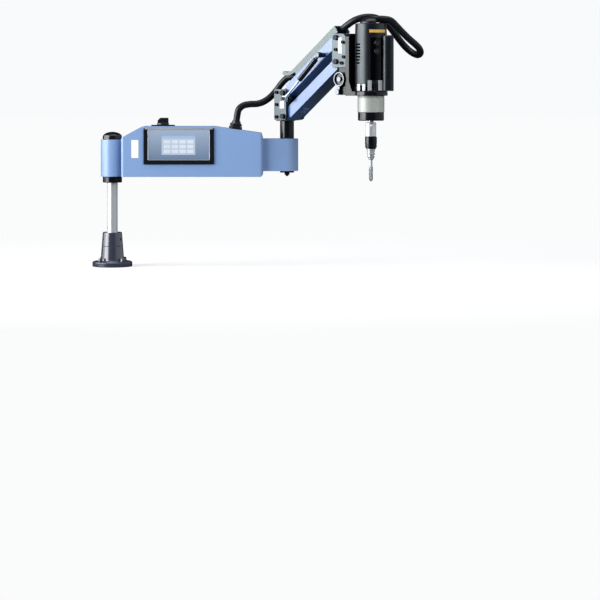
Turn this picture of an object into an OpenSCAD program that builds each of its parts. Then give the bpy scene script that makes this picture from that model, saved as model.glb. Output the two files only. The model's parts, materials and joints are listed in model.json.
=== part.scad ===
// Arm tapping machine: a bolted column carries a swinging box arm, and a parallel
// link boom with a gas spring holds the servo tapping head upright at any height.
// Origin: centre of the base flange's underside, +Z up, +X along the box arm at rest.

/* [Base and column] */
// Diameter of the mounting flange
flange_d = 114; // [106:1:140]
// Thickness of the mounting flange
flange_t = 15; // [10:1:20]
// Diameter of the circle through the flange holes
bolt_circle_d = 90; // [88:1:92]
// Diameter of each flange hole
bolt_hole_d = 9; // [6:0.5:10]
// Number of flange holes
bolt_count = 4; // [4:1:6]
// Diameter of the cone where it meets the flange
cone_foot_d = 67; // [62:1:70]
// Height of the seam between the cone and the clamping sleeve
seam_z = 58; // [45:1:70]
// Height of the top of the clamping sleeve
sleeve_top_z = 98; // [90:1:120]
// Diameter of the clamping sleeve at its top
sleeve_top_d = 55; // [50:1:58]
// Diameter of the column
column_d = 30; // [26:1:32]
// Outside diameter of the stop collar
collar_d = 55; // [50:1:60]
// Height of the stop collar
collar_h = 17; // [14:1:22]
// Size of the grub screws
grub_d = 6; // [5:1:8]

/* [Box arm] */
// Height of the box arm's underside above the table
arm_z = 257.3; // [200:0.1:320]
// Outside diameter of the hub on the column
hub_d = 66; // [64:1:70]
// Height of the hub
hub_h = 105.7; // [95:0.1:115]
// Distance from the column to the boom's swing axis
arm_reach = 500; // [480:1:560]
// Depth of the box from front to back
body_w = 100; // [90:1:110]
// Height of the box at its flat top
body_h = 144; // [140:1:150]
// Distance from the column to the box's end wall
body_end = 431; // [420:1:436]
// Distance from the column to the start of the sloping top
slope_start = 291; // [286:1:300]
// Fall of the sloping top over its length
slope_fall = 19.3; // [12:0.1:24]
// Wall of the casting
wall_t = 5; // [4:0.5:6]
// Radius of the casting's upright edges
edge_r = 8; // [4:1:10]
// Thickness of the rear cover
cover_t = 3; // [2:0.5:4]
// Width of the narrow end that holds the boom's bearings
ext_w = 64; // [62:1:76]
// Height of the narrow end
ext_h = 92.5; // [80:0.5:96]
// Height of the narrow end's underside above the box's underside
ext_rise = 16; // [10:1:20]

/* [Screen and switch] */
// Width of the screen's frame
bezel_w = 201; // [196:1:206]
// Height of the screen's frame
bezel_h = 103; // [98:1:104]
// Distance from the column to the frame's near edge
bezel_x = 92; // [90:1:96]
// Thickness of the frame
bezel_t = 4; // [3:0.5:6]
// Width of the frame's side bars
bezel_side = 14; // [10:1:16]
// Width of the frame's bottom bar
bezel_bottom = 13; // [10:1:16]
// Width of the frame's top bar
bezel_top = 4; // [3:0.5:6]
// Thickness of the glass
glass_t = 1.5; // [1:0.5:2]
// Length of the switch plate along the arm
switch_l = 66; // [60:1:70]
// Height of the switch knob's grip
knob_h = 15; // [10:1:20]
// Distance from the column to the switch
switch_x = 145; // [140:1:160]
// Distance from the column to the cable gland
gland_x = 352; // [330:1:380]

/* [Bearings and shafts] */
// Outside diameter of the hub bearings
hub_bearing_d = 55; // [52:1:56]
// Width of the hub bearings
hub_bearing_w = 13; // [10:1:16]
// Diameter of the boom shaft's journal
journal_d = 25; // [20:1:26]
// Outside diameter of the boom shaft's bearings
pivot_bearing_d = 52; // [48:1:54]
// Width of the boom shaft's bearings
pivot_bearing_w = 15; // [12:1:17]
// Diameter of the boom shaft above the arm
shaft_d = 40; // [38:1:44]
// Height of the boom shaft above the arm
shaft_rise = 50; // [42:1:70]
// Radial clearance of a running fit
run_fit = 0.05; // [0.03:0.01:0.08]
// Clearance between seated pieces
seat_gap = 0.3; // [0.2:0.05:0.5]

/* [Link boom] */
// Direction of the boom at rest, turned from the box arm towards the front
boom_yaw = 45; // [20:1:70]
// Angle of the links above level at rest
lift_rest = 36.3; // [25:0.1:40]
// Distance between the pins of a link
link_len = 260; // [250:1:300]
// Distance between the upper and lower pins of a bracket
link_gap = 67; // [64:1:74]
// Width of a link
link_w = 55; // [48:1:60]
// Depth of a link's tube
link_h = 31; // [28:1:33]
// Wall of a link's tube
link_wall = 4; // [3:0.5:5]
// Radius of the round eye at a link's end
eye_r = 12; // [11:0.5:13]
// Diameter of the link pins
pin_d = 10; // [8:1:12]
// Thickness of the bracket plates
plate_t = 8; // [6:0.5:10]
// Height of the cable cover on the upper link
trough_h = 21.5; // [21.4:0.1:23]
// Sheet thickness of the cable cover
trough_t = 1.5; // [1:0.1:1.6]

/* [Gas spring] */
// Distance along the upper link from its pin to the gas spring's upper stud
gas_s = 187; // [175:1:195]
// Distance of the upper stud below the link's centre line
gas_n = 6; // [4:1:8]
// Distance of the lower stud forward of the upper bracket pin
gas_foot_x = 16.5; // [15:0.5:18]
// Distance of the lower stud below the upper bracket pin
gas_foot_z = 16.8; // [15:0.1:19]
// Diameter of the gas spring's tube
gas_tube_d = 15; // [14:0.5:18]
// Diameter of the gas spring's rod
gas_rod_d = 6; // [5:0.5:7]
// Length of the gas spring's tube
gas_tube_l = 85; // [70:1:90]

/* [Swivel and head] */
// Depth of the swivel clamp block along the boom
clamp_t = 30; // [26:1:32]
// Diameter of the swivel trunnion
trunnion_d = 36; // [30:1:38]
// Height of the lower head pin above the swivel axis
swivel_drop = 49; // [46:1:54]
// Thickness of the swivel plate's upright
upright_t = 14; // [10:1:16]
// Thickness of the swivel plate's seat
seat_t = 12; // [10:1:14]
// Height of the swivel axis above the motor seat
seat_drop = 34; // [32:1:38]
// Height of the swivel plate's upright above the motor seat
upright_h = 160; // [130:1:170]
// Outside diameter of the motor shell
shell_d = 88; // [86:1:92]
// Wall of the motor shell
shell_wall = 3; // [2:0.5:3.5]
// Height of the notched collar under the shell
adapter_h = 21; // [18:1:26]
// Height of the motor shell's rim above the motor seat
shell_top = 187; // [180:1:200]
// Number of slots in each vent
vent_count = 7; // [5:1:8]
// Distance from one vent slot to the next
vent_pitch = 8.6; // [6:0.1:9]
// Radial reach of the connector box from the motor axis
box_reach = 61.6; // [56:0.1:70]
// Width of the connector box
box_w = 60; // [50:1:66]
// Height of the connector box
box_h = 154; // [130:1:160]
// Diameter of the push buttons
button_d = 14; // [12:1:16]
// Diameter of the gearbox
gearbox_d = 74.6; // [70:0.1:80]
// Height of the gearbox
gearbox_h = 46; // [40:1:56]
// Diameter of the gearbox's nose ring
nose_d = 72; // [66:1:74]
// Height of the nose ring
nose_h = 23; // [20:1:28]

/* [Spindle and tool] */
// Diameter of the output shaft
neck_d = 15; // [14:1:16]
// Diameter of the chuck body
chuck_d = 29; // [28:0.5:32]
// Height of the chuck body's bright part
chuck_h = 38.4; // [34:0.1:46]
// Outside diameter of the release sleeve
sleeve_d = 33; // [32:0.5:36]
// Height of the release sleeve
sleeve_h = 34.7; // [28:0.1:38]
// Diameter of the chuck nose that carries the sleeve
chuck_nose_d = 24; // [23:0.5:25]
// Diameter of the tap holder's shank
holder_shank_d = 19; // [16:1:20]
// Height of the tap holder below the chuck
holder_h = 21.4; // [18:0.1:26]
// Diameter of the tap's shank
tap_shank_d = 8.5; // [6:0.5:9]
// Diameter of the tap's fluted end
tap_d = 12; // [10:0.5:14]
// Length of the tap's fluted end
tap_flute_l = 41; // [30:1:50]
// Number of flutes
flute_count = 4; // [3:1:4]
// Outside diameter of the cable hoses
hose_d = 19; // [16:0.5:19]

/* [Hidden] */
$fn = 96;
eps = 0.05;

arm_blue = [0.47, 0.60, 0.79];
slate = [0.24, 0.25, 0.33];
black = [0.07, 0.07, 0.08];
graphite = [0.22, 0.23, 0.26];
chrome = [0.86, 0.88, 0.90];
steel = [0.62, 0.65, 0.68];
silver = [0.70, 0.73, 0.75];
trough_grey = [0.62, 0.68, 0.68];
gear_grey = [0.70, 0.70, 0.67];
bronze = [0.72, 0.55, 0.30];
board_green = [0.10, 0.38, 0.22];
glass_grey = [0.66, 0.70, 0.78];

// Base and column heights
column_foot = 6;
cone_slope = (cone_foot_d - sleeve_top_d) / (sleeve_top_z - flange_t);
seam_d = cone_foot_d - cone_slope * (seam_z - flange_t);
collar_top = arm_z - seat_gap;
collar_z = collar_top - collar_h;
column_bore = column_d + 2 * 0.1;
column_top = arm_z + hub_h + 9;
cap_h = 22;
cap_d = hub_d - 10;

// Box arm
body_x0 = hub_d / 2 - wall_t;
body_top = arm_z + body_h;
chamfer_x = body_x0 + 60;
chamfer_h = body_h - 33;
shoulder_x = body_end - 4;
shoulder_h = body_h - slope_fall;
end_h = shoulder_h - 15.7;
slope_angle = atan(slope_fall / (shoulder_x - slope_start));
ext_z = arm_z + ext_rise;
ext_top = ext_z + ext_h;
front_y = -body_w / 2;
back_y = body_w / 2 - cover_t;
boss_d = 12;
cover_screw_d = 4;
cover_screws = [
    [body_x0 + 17, wall_t + 9], [bezel_x + bezel_w / 2, wall_t + 9], [body_end - 15, wall_t + 9],
    [body_end - 17, end_h - wall_t - 8], [bezel_x + bezel_w + 9, body_h - wall_t - 12],
    [bezel_x - 10, body_h - wall_t - 16]
];

// Screen
window_w = bezel_w - 2 * bezel_side;
window_h = bezel_h - bezel_bottom - bezel_top;
bezel_z = body_top - 5 - bezel_h;
window_x = bezel_x + bezel_side;
window_z = bezel_z + bezel_bottom;
module_d = 20;
lip_w = 5;
lip_t = 3;

// Switch and gland
switch_w = 50;
switch_t = 3.5;
switch_neck_d = 22;
knob_base_h = 5;
knob_stem_d = 8;
gland_hex = 33;
gland_thread_d = 20;
gland_h = 24;
gland_z = body_top - slope_fall * (gland_x - slope_start) / (shoulder_x - slope_start) + eps;

// Boom shaft and yoke
shaft_top = ext_top + shaft_rise;
block_back = -16;
block_front = 6;
block_mid = (block_back + block_front) / 2;
screw_d = 6;
pin_gap = 2;
low_pin = [block_front + eye_r + pin_gap, shaft_top + eye_r + 1.7];
up_pin = low_pin + [0, link_gap];
plate_y = link_w / 2 + 0.5;
plate_out = plate_y + plate_t;
yoke_z0 = low_pin.y - 10.5;
yoke_z1 = up_pin.y + 10.5;
yoke_x1 = low_pin.x + 12;
yoke_mid_z = (low_pin.y + up_pin.y) / 2;
block_screw_z = [yoke_z0 + 9, yoke_mid_z, yoke_z1 - 9];
foot_pin = [up_pin.x + gas_foot_x, up_pin.y - gas_foot_z];
foot_r = 9;
stud_d = 8;
tail_d = 8;
washer_t = 4.7;
nut_h = 6.5;

// Links
tube_start = 14;
link_dir = [cos(lift_rest), sin(lift_rest)];
low_head_pin = low_pin + link_len * link_dir;
up_head_pin = up_pin + link_len * link_dir;
neck_h = 2 * eye_r - 2;
bush_wall = 2;
bush_d = pin_d + 2 * (bush_wall + run_fit);
trough_s0 = 64;
trough_s1 = link_len + 6;
trough_w = 50;
lip_r = 45;
lip_angle = 55;
lip_skirt = 10;
lip_in = 0.2;

// Gas spring, which lies on the near side of the boom
gas_y = plate_out + 10;
gas_top = up_pin + gas_s * link_dir - gas_n * [-link_dir.y, link_dir.x];
gas_dx = gas_top.x - foot_pin.x;
gas_dz = gas_top.y - foot_pin.y;
gas_len = norm([gas_dx, gas_dz]);
gas_slope = atan(gas_dz / gas_dx);
gas_eye_d = 16;
gas_eye_w = 11;
gas_stem = 19;
gas_bore_d = gas_tube_d - 3;
rod_l = gas_len - gas_stem - gas_tube_l + 34;

// Head brackets and clamp
head_x0 = low_head_pin.x - 15.5;
head_x1 = low_head_pin.x + 38.5;
head_z0 = low_head_pin.y - 16.4;
head_z1 = up_head_pin.y + 10.6;
head_corner_r = 16;
head_mid_z = (low_head_pin.y + up_head_pin.y) / 2;
web_x0 = low_head_pin.x + eye_r + 4.5;
web_screws = [
    [web_x0 + 6, head_z0 + 12.5], [head_x1 - 7, head_z0 + 29], [head_x1 - 11, head_z1 - 24]
];
clamp_x0 = head_x1 - clamp_t;
clamp_w = 66;
swivel_z = low_head_pin.y - swivel_drop;
clamp_z0 = swivel_z - 44;
lever_hub_r = 20;
lever_hub_t = 12;
lever_x = head_x1 + 0.4 - lever_hub_r;
lever_len = 43;
lever_tilt = 15;
lever_stud_d = 10;

// Swivel plate and motor, heights counted from the motor seat
upright_x0 = head_x1 + 1;
upright_w = 80;
motor_x = upright_x0 + upright_t + 2 + shell_d / 2;
seat_z = swivel_z - seat_drop;
seat_r = 46;
spigot_d = 24;
nut_l = 8;
pilot_d = 38;
motor_d = 76;
motor_h = 90;
encoder_d = 60;
encoder_h = 50;
shell_r = shell_d / 2;
shell_in = shell_r - shell_wall;
window_half = 4.3;
rim_taper = 0.8;
cap_rise = 2.5;
cap_rim = shell_r - rim_taper;
crown_r = (cap_rim * cap_rim + cap_rise * cap_rise) / (2 * cap_rise);
crown_z = shell_top + cap_rise - crown_r;
vent_turn = 103;
vent_mid = 104;
vent_w = 21;
vent_slot = 4.2;
vent_z0 = vent_mid - (vent_count - 1) / 2 * vent_pitch - vent_slot / 2;
panel_turn = -23;
panel_half = 22;
panel_z = [96, 156];
button_z = [109.4, 132.6];
button_out = 3;
button_skirt = 2;
button_in = shell_in - 4.5;
box_turn = 45;
box_r = 10;
box_wall = 2.5;
barrel_d = 20;
barrel_out = 14;
boot_r = 31;
boot_h = 20.5;
barrel_z = shell_top + cap_rise + barrel_d / 2 + seat_gap;

// Gearbox, spindle and tool, depths counted down from the motor seat
gearbox_z = -seat_t - gearbox_h;
nose_z = gearbox_z - nose_h;
bearing_od = 32;
bearing_w = 9;
nose_lip = 5;
neck_gap = 4.6;
chuck_z = nose_z - neck_gap;
shoulder_z = chuck_z - chuck_h;
sleeve_z = shoulder_z - seat_gap - sleeve_h;
sleeve_bore = chuck_nose_d + 2 * 0.3;
chuck_end = sleeve_z - 3;
holder_top = chuck_end - seat_gap;
holder_end = holder_top - holder_h;
holder_d = 22;
tip_ring_h = 5.5;
tap_top = holder_end - tip_ring_h;
tap_neck = 18;
tap_end = tap_top - tap_neck - tap_flute_l;
shank_in = 30;

// Hoses: the points each one follows, in the part's own frame
gland_dir = [sin(slope_angle), 0, cos(slope_angle)];
gland_mouth = [gland_x, 0, gland_z] + gland_h * gland_dir;
hose_n = link_h / 2 + hose_d / 2 + 0.25;
barrel_mouth = boom_point([motor_x, 0, seat_z + barrel_z]) + [barrel_out + 0.02, 0, 0];
hose_sides = 10;
lower_route = [
    gland_mouth, gland_mouth + 18 * gland_dir, [362, 0, 449], [375, 2, 460], [394, 5, 464],
    [414, 9, 465], [433, 14, 471], [453, 19, 485], [470, 21, 504], [485, 12, 524],
    link_point(7, 46), link_point(17, 42.5), link_point(28, 36.5), link_point(40, 30.5),
    link_point(52, 26.5), link_point(trough_s0, hose_n), link_point(trough_s0 + 16, hose_n)
];
upper_route = [
    link_point(trough_s1 - 16, hose_n), link_point(trough_s1, hose_n),
    [671, -168, 687], [690, -178, 699], [714, -182, 706.5],
    [740, -178, 707], [765, -168, 698.5], [785, -160, 683], [801, -157, 663], [816, -157, 643],
    [832, -161, 624], [849, -171, 609], [864, -188, 602], [871, -205, 608], [866, -221, 620],
    [855, -229, 631], [843, -233, 641], [832, -235, 651], [820, -235, 663], [804, -235, 680],
    [787, -234, 696], barrel_mouth + [20, 0, 0], barrel_mouth
];

function boom_point(p) = [
    arm_reach + cos(boom_yaw) * p.x + sin(boom_yaw) * p.y,
    -sin(boom_yaw) * p.x + cos(boom_yaw) * p.y, p.z
];
function link_point(s, n) = boom_point([
    up_pin.x + s * link_dir.x - n * link_dir.y, 0, up_pin.y + s * link_dir.y + n * link_dir.x
]);
function unit(v) = v / norm(v);

// Corner i of an outline, rounded with radius r[i]
function corner_arc(p, r, i, steps) =
    let (n = len(p), a = unit(p[(i + n - 1) % n] - p[i]), b = unit(p[(i + 1) % n] - p[i]))
    let (half = acos(a * b) / 2, mid = unit(a + b))
    let (c = p[i] + mid * r[i] / sin(half), from = p[i] + a * r[i] / tan(half) - c)
    let (to = p[i] + b * r[i] / tan(half) - c)
    r[i] == 0 ? [p[i]] :
    [for (k = [0 : steps]) c + r[i] * unit(from * (1 - k / steps) + to * k / steps)];
function rounded(p, r, steps = 5) = [for (i = [0 : len(p) - 1]) each corner_arc(p, r, i, steps)];

// ---------------------------------------------------------------- shared shapes

module ring(od, id, h) {
    difference() {
        cylinder(d = od, h = h);
        translate([0, 0, -eps]) cylinder(d = id, h = h + 2 * eps);
    }
}

module rounded_rect(w, h, r) {
    square([w - 2 * r, h], center = true);
    square([w, h - 2 * r], center = true);
    for (x = [-1, 1], y = [-1, 1])
        translate([x * (w / 2 - r), y * (h / 2 - r)]) circle(r);
}

// Socket head screw: the head stands above z = 0 and the shank goes down
module cap_screw(d, shank) {
    difference() {
        union() {
            cylinder(d = 1.6 * d, h = 0.9 * d);
            translate([0, 0, -shank]) cylinder(d = d, h = shank + eps);
        }
        translate([0, 0, 0.4 * d]) cylinder(d = 0.9 * d, h = d, $fn = 6);
    }
}

module hex(across, h) cylinder(d = across / cos(30), h = h, $fn = 6);

module near_face(x, z, y) translate([x, -y, z]) rotate([90, 0, 0]) children();

module far_face(x, z, y) translate([x, y, z]) rotate([-90, 0, 0]) children();

module cross_bore(x, z, d) translate([x, 100, z]) rotate([90, 0, 0]) cylinder(d = d, h = 200);

// An outline in x and z, made solid from y0 to y1
module side_slab(points, y0, y1)
    translate([0, y1, 0]) rotate([90, 0, 0]) linear_extrude(y1 - y0) polygon(points);

module bearing(bore, od, w) {
    color(steel) difference() {
        cylinder(d = od - 0.2, h = w);
        translate([0, 0, -eps]) cylinder(d = bore + 2 * run_fit, h = w + 2 * eps);
        for (z = [-eps, w - 0.6])
            translate([0, 0, z]) ring(od - 7, bore + 7, 0.6 + eps);
    }
}

module boom_frame() translate([arm_reach, 0, 0]) rotate([0, 0, -boom_yaw]) children();

module link_frame(pin) boom_frame() translate([pin.x, 0, pin.y]) rotate([0, -lift_rest, 0]) children();

module head_frame() boom_frame() translate([motor_x, 0, seat_z]) children();

// A round tube swept along a route, its rings carried without twist
module hose(route) {
    last = len(route) - 1;
    dirs = [for (i = [0 : last])
        unit(i == 0 ? route[1] - route[0] :
            i == last ? route[last] - route[last - 1] :
            unit(route[i] - route[i - 1]) + unit(route[i + 1] - route[i]))];
    first_side = unit(cross(dirs[0], [0, 1, 0]));
    sides = [for (i = 0, s = first_side; i <= last;
        i = i + 1, s = i <= last ? unit(s - (s * dirs[i]) * dirs[i]) : s) s];
    points = [for (i = [0 : last], k = [0 : hose_sides - 1])
        route[i] + hose_d / 2 * (cos(360 * k / hose_sides) * sides[i]
            + sin(360 * k / hose_sides) * cross(dirs[i], sides[i]))];
    walls = [for (i = [0 : last - 1], k = [0 : hose_sides - 1])
        let (a = i * hose_sides + k, b = i * hose_sides + (k + 1) % hose_sides)
        [a, a + hose_sides, b + hose_sides, b]];
    ends = [[for (k = [0 : hose_sides - 1]) k],
        [for (k = [hose_sides - 1 : -1 : 0]) last * hose_sides + k]];
    polyhedron(points, concat(walls, ends), convexity = 4);
}

// ---------------------------------------------------------------- base and column

module base_flange() {
    color(slate) difference() {
        rotate_extrude() polygon([
            [0, 0], [flange_d / 2 - 1, 0], [flange_d / 2, 1], [flange_d / 2, flange_t - 3],
            [flange_d / 2 - 3, flange_t], [cone_foot_d / 2 + 4, flange_t],
            [cone_foot_d / 2 + 1, flange_t + 1.5], [cone_foot_d / 2, flange_t + 5],
            [seam_d / 2, seam_z], [0, seam_z]
        ]);
        translate([0, 0, column_foot]) cylinder(d = column_bore, h = seam_z);
        for (i = [0 : bolt_count - 1])
            rotate([0, 0, 45 + i * 360 / bolt_count]) translate([bolt_circle_d / 2, 0, -eps])
                cylinder(d = bolt_hole_d, h = flange_t + 2);
    }
}

module grub_holes(d) {
    for (a = [90, 210, 330])
        rotate([0, 0, a]) translate([0, 0, (seam_z + sleeve_top_z) / 2])
            rotate([0, 90, 0]) cylinder(d = d, h = seam_d);
}

module column_sleeve() {
    color(slate) difference() {
        rotate_extrude() polygon([
            [column_bore / 2, seam_z], [seam_d / 2 - 0.6, seam_z], [seam_d / 2, seam_z + 0.8],
            [sleeve_top_d / 2, sleeve_top_z - 1.5], [sleeve_top_d / 2 - 1.5, sleeve_top_z],
            [column_bore / 2, sleeve_top_z]
        ]);
        grub_holes(grub_d + 0.2);
    }
}

module column() {
    color(chrome) translate([0, 0, column_foot]) cylinder(d = column_d, h = column_top - column_foot);
}

module grub_screw(reach) {
    difference() {
        translate([column_d / 2 + seat_gap, 0, 0]) rotate([0, 90, 0]) cylinder(d = grub_d, h = reach);
        translate([column_d / 2 + reach - 2, 0, 0]) rotate([0, 90, 0])
            cylinder(d = grub_d / 2, h = 4, $fn = 6);
    }
}

module grub_screws() {
    color(steel) {
        for (a = [90, 210, 330])
            rotate([0, 0, a]) translate([0, 0, (seam_z + sleeve_top_z) / 2]) grub_screw(11);
        rotate([0, 0, 110]) translate([0, 0, collar_z + collar_h / 2]) grub_screw(10);
    }
}

module stop_collar() {
    color(black) difference() {
        rotate_extrude() polygon([
            [column_bore / 2, collar_z], [collar_d / 2 - 1, collar_z],
            [collar_d / 2, collar_z + 1], [collar_d / 2, collar_top - 1],
            [collar_d / 2 - 1, collar_top], [column_bore / 2, collar_top]
        ]);
        rotate([0, 0, 110]) translate([0, 0, collar_z + collar_h / 2])
            rotate([0, 90, 0]) cylinder(d = grub_d + 0.2, h = collar_d);
    }
}

// ---------------------------------------------------------------- box arm

function arm_outline(w, r) = rounded([
    [body_x0 + w, arm_z + w], [body_end - w, arm_z + w], [body_end - w, arm_z + end_h - w],
    [shoulder_x - w, arm_z + shoulder_h - w], [slope_start, body_top - w],
    [chamfer_x, body_top - w], [body_x0 + w, arm_z + chamfer_h - w]
], [0, r, 0, r / 2, 3 * r, 3 * r, r]);

module arm_shape(y0, y1) {
    intersection() {
        side_slab(arm_outline(0, edge_r), y0, y1);
        translate([(body_x0 + body_end) / 2, 0, arm_z - 1])
            linear_extrude(body_h + 2) rounded_rect(body_end - body_x0, body_w, edge_r);
    }
}

module cover_bosses() {
    for (p = cover_screws)
        translate([p.x, back_y, arm_z + p.y]) rotate([90, 0, 0])
            cylinder(d = boss_d, h = back_y - front_y - 1);
}

module gland_frame() translate([gland_x, 0, gland_z]) rotate([0, slope_angle, 0]) children();

module arm_casting() {
    color(arm_blue) difference() {
        union() {
            difference() {
                arm_shape(front_y, back_y);
                side_slab(arm_outline(wall_t, edge_r / 2), front_y + wall_t, back_y + eps);
            }
            intersection() {
                cover_bosses();
                arm_shape(front_y, back_y);
            }
            translate([0, 0, arm_z]) cylinder(d = hub_d, h = hub_h);
            translate([0, 0, ext_z]) linear_extrude(ext_h) {
                translate([body_end - wall_t, -ext_w / 2])
                    square([arm_reach - body_end + wall_t, ext_w]);
                translate([arm_reach, 0]) circle(d = ext_w);
            }
        }
        // column bore and the two bearing pockets of the hub
        translate([0, 0, arm_z - eps]) cylinder(d = hub_bearing_d - 13, h = hub_h + 2 * eps);
        for (z = [arm_z - eps, arm_z + hub_h - hub_bearing_w])
            translate([0, 0, z]) cylinder(d = hub_bearing_d, h = hub_bearing_w + eps);
        // boom shaft bore and its two bearing pockets
        translate([arm_reach, 0, ext_z - eps]) {
            cylinder(d = pivot_bearing_d - 14, h = ext_h + 2 * eps);
            cylinder(d = pivot_bearing_d, h = pivot_bearing_w + eps);
            translate([0, 0, ext_h - pivot_bearing_w])
                cylinder(d = pivot_bearing_d, h = pivot_bearing_w + 3 * eps);
        }
        // screen window, switch hole, gland hole and rear screw holes
        translate([window_x - 0.5, front_y - 1, window_z - 0.5])
            cube([window_w + 1, wall_t + 2, window_h + 1]);
        translate([switch_x, 0, body_top - wall_t - 2]) cylinder(d = switch_neck_d + 0.4, h = wall_t + 4);
        gland_frame() translate([0, 0, -wall_t - 4]) cylinder(d = gland_thread_d + 0.4, h = wall_t + 8);
        for (p = cover_screws)
            translate([p.x, back_y + eps, arm_z + p.y]) rotate([90, 0, 0])
                cylinder(d = cover_screw_d + 0.2, h = 18);
    }
}

module arm_rear_cover() {
    color(arm_blue) difference() {
        arm_shape(back_y, body_w / 2);
        for (p = cover_screws)
            translate([p.x, body_w / 2 + 1, arm_z + p.y]) rotate([90, 0, 0])
                cylinder(d = cover_screw_d + 0.4, h = cover_t + 2);
    }
}

module rear_cover_screws() {
    color(steel)
        for (p = cover_screws)
            far_face(p.x, arm_z + p.y, body_w / 2) cap_screw(cover_screw_d, cover_t + 12);
}

module hub_bearings() {
    for (z = [arm_z, arm_z + hub_h - hub_bearing_w])
        translate([0, 0, z]) bearing(column_d, hub_bearing_d, hub_bearing_w);
}

module hub_cap() {
    rim = cap_d / 2;
    color(black) translate([0, 0, arm_z + hub_h]) rotate_extrude() polygon(concat(
        [[rim - 4, 0], [rim, 0], [rim, 6]],
        [for (a = [20 : 10 : 90]) [rim * cos(a) + 0.5 * (90 - a) / 90, 6 + (cap_h - 6) * sin(a)]],
        [[0, cap_h - 4], [rim - 14, cap_h - 5], [rim - 4, 7]]
    ));
}

// ---------------------------------------------------------------- screen, switch and gland

module screen_frame() {
    color(black) difference() {
        translate([bezel_x + bezel_w / 2, front_y, bezel_z + bezel_h / 2]) rotate([90, 0, 0])
            linear_extrude(bezel_t) rounded_rect(bezel_w, bezel_h, 2);
        translate([window_x, front_y - bezel_t - 1, window_z]) cube([window_w, bezel_t + 2, window_h]);
    }
}

module screen_glass() {
    color(glass_grey) translate([window_x + seat_gap, front_y - bezel_t + 0.6, window_z + seat_gap])
        cube([window_w - 2 * seat_gap, glass_t, window_h - 2 * seat_gap]);
}

module display_module() {
    glass_back = front_y - bezel_t + 0.6 + glass_t;
    color(graphite) difference() {
        union() {
            translate([window_x + 0.5, glass_back, window_z + 0.5])
                cube([window_w - 1, module_d, window_h - 1]);
            translate([window_x - lip_w, front_y + wall_t, window_z - lip_w])
                cube([window_w + 2 * lip_w, lip_t, window_h + lip_w + 1.5]);
        }
        for (i = [0 : 5])
            translate([window_x + 20 + i * 25, glass_back + module_d - 3, window_z + 16])
                cube([12, 4, window_h - 32]);
    }
}

module control_board() {
    board = [100, 1.6, 75];
    board_y = back_y - 16;
    color(board_green) translate([bezel_x + bezel_w + 11, board_y, arm_z + 24]) {
        cube(board);
        for (x = [6, board.x - 6], z = [6, board.z - 6])
            translate([x, 16, z]) rotate([90, 0, 0]) cylinder(d = 6, h = 15);
        translate([10, -22, 30]) cube([44, 22.5, 34]);
        translate([62, -12, 10]) cube([26, 12.5, 52]);
        for (i = [0 : 3])
            translate([16 + i * 11, 0.5, 14]) rotate([90, 0, 0]) cylinder(d = 8, h = 18);
    }
}

module switch_body() {
    color(black) difference() {
        union() {
            translate([switch_x, 0, body_top]) linear_extrude(switch_t) rounded_rect(switch_l, switch_w, 4);
            translate([switch_x, 0, body_top - wall_t - 1]) cylinder(d = switch_neck_d, h = wall_t + 2);
            translate([switch_x - 20, -20, body_top - wall_t - 31]) cube([40, 40, 31]);
        }
        translate([switch_x, 0, body_top - wall_t - 12]) cylinder(d = knob_stem_d + 0.2, h = 30);
    }
}

module switch_knob() {
    grip_l = 31;
    grip_w = 13;
    color(black) translate([switch_x, 0, body_top + switch_t + seat_gap]) {
        cylinder(d = 34, h = knob_base_h);
        translate([0, 0, -switch_t - 9]) cylinder(d = knob_stem_d, h = switch_t + 10);
        side_slab(rounded([
            [-grip_l / 2, knob_base_h - 1], [grip_l / 2, knob_base_h - 1],
            [grip_l / 2, knob_base_h + knob_h], [-grip_l / 4, knob_base_h + knob_h],
            [-grip_l / 2, knob_base_h + knob_h / 2]
        ], [0, 0, 2.5, 2.5, 2.5]), -grip_w / 2, grip_w / 2);
    }
}

module cable_gland() {
    color(black) gland_frame() {
        translate([0, 0, -wall_t - 7]) cylinder(d = gland_thread_d, h = wall_t + 8);
        hex(gland_hex, 8);
        translate([0, 0, 7]) cylinder(d = gland_hex - 5, h = 3);
        translate([0, 0, 9]) hex(gland_hex - 3, 7);
        translate([0, 0, 15]) cylinder(d1 = gland_hex - 4, d2 = hose_d + 4, h = gland_h - 15);
    }
}

module pivot_bearings() {
    for (z = [ext_z, ext_top - pivot_bearing_w])
        translate([arm_reach, 0, z]) bearing(journal_d, pivot_bearing_d, pivot_bearing_w);
}

module hose_lower() color(black) hose(lower_route);

// ---------------------------------------------------------------- boom shaft and yoke

module pivot_shaft() {
    color(black) boom_frame() {
        translate([0, 0, ext_z]) cylinder(d = journal_d, h = ext_h + 1);
        translate([0, 0, ext_z - washer_t - nut_h - 4]) cylinder(d = tail_d, h = washer_t + nut_h + 5);
        translate([0, 0, ext_top + seat_gap]) rotate_extrude() polygon([
            [0, 0], [shaft_d / 2 - 1, 0], [shaft_d / 2, 1],
            [shaft_d / 2, shaft_rise - seat_gap], [0, shaft_rise - seat_gap]
        ]);
    }
}

module shaft_washer() {
    color(black) boom_frame() translate([0, 0, ext_z - seat_gap - washer_t])
        ring(shaft_d, tail_d + 0.2, washer_t);
}

module shaft_nut() {
    color(black) boom_frame() translate([0, 0, ext_z - seat_gap - washer_t - nut_h]) difference() {
        hex(13, nut_h);
        translate([0, 0, -eps]) cylinder(d = tail_d + 0.2, h = nut_h + 1);
    }
}

module yoke_block() {
    color(silver) boom_frame() difference() {
        translate([block_back, -plate_y + 0.02, shaft_top])
            cube([block_front - block_back, 2 * (plate_y - 0.02), yoke_z1 - shaft_top]);
        for (z = block_screw_z) cross_bore(block_mid, z, screw_d + 0.2);
        translate([block_front - 5, -link_w / 4, yoke_mid_z - 12]) cube([6, link_w / 2, 24]);
    }
}

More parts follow.
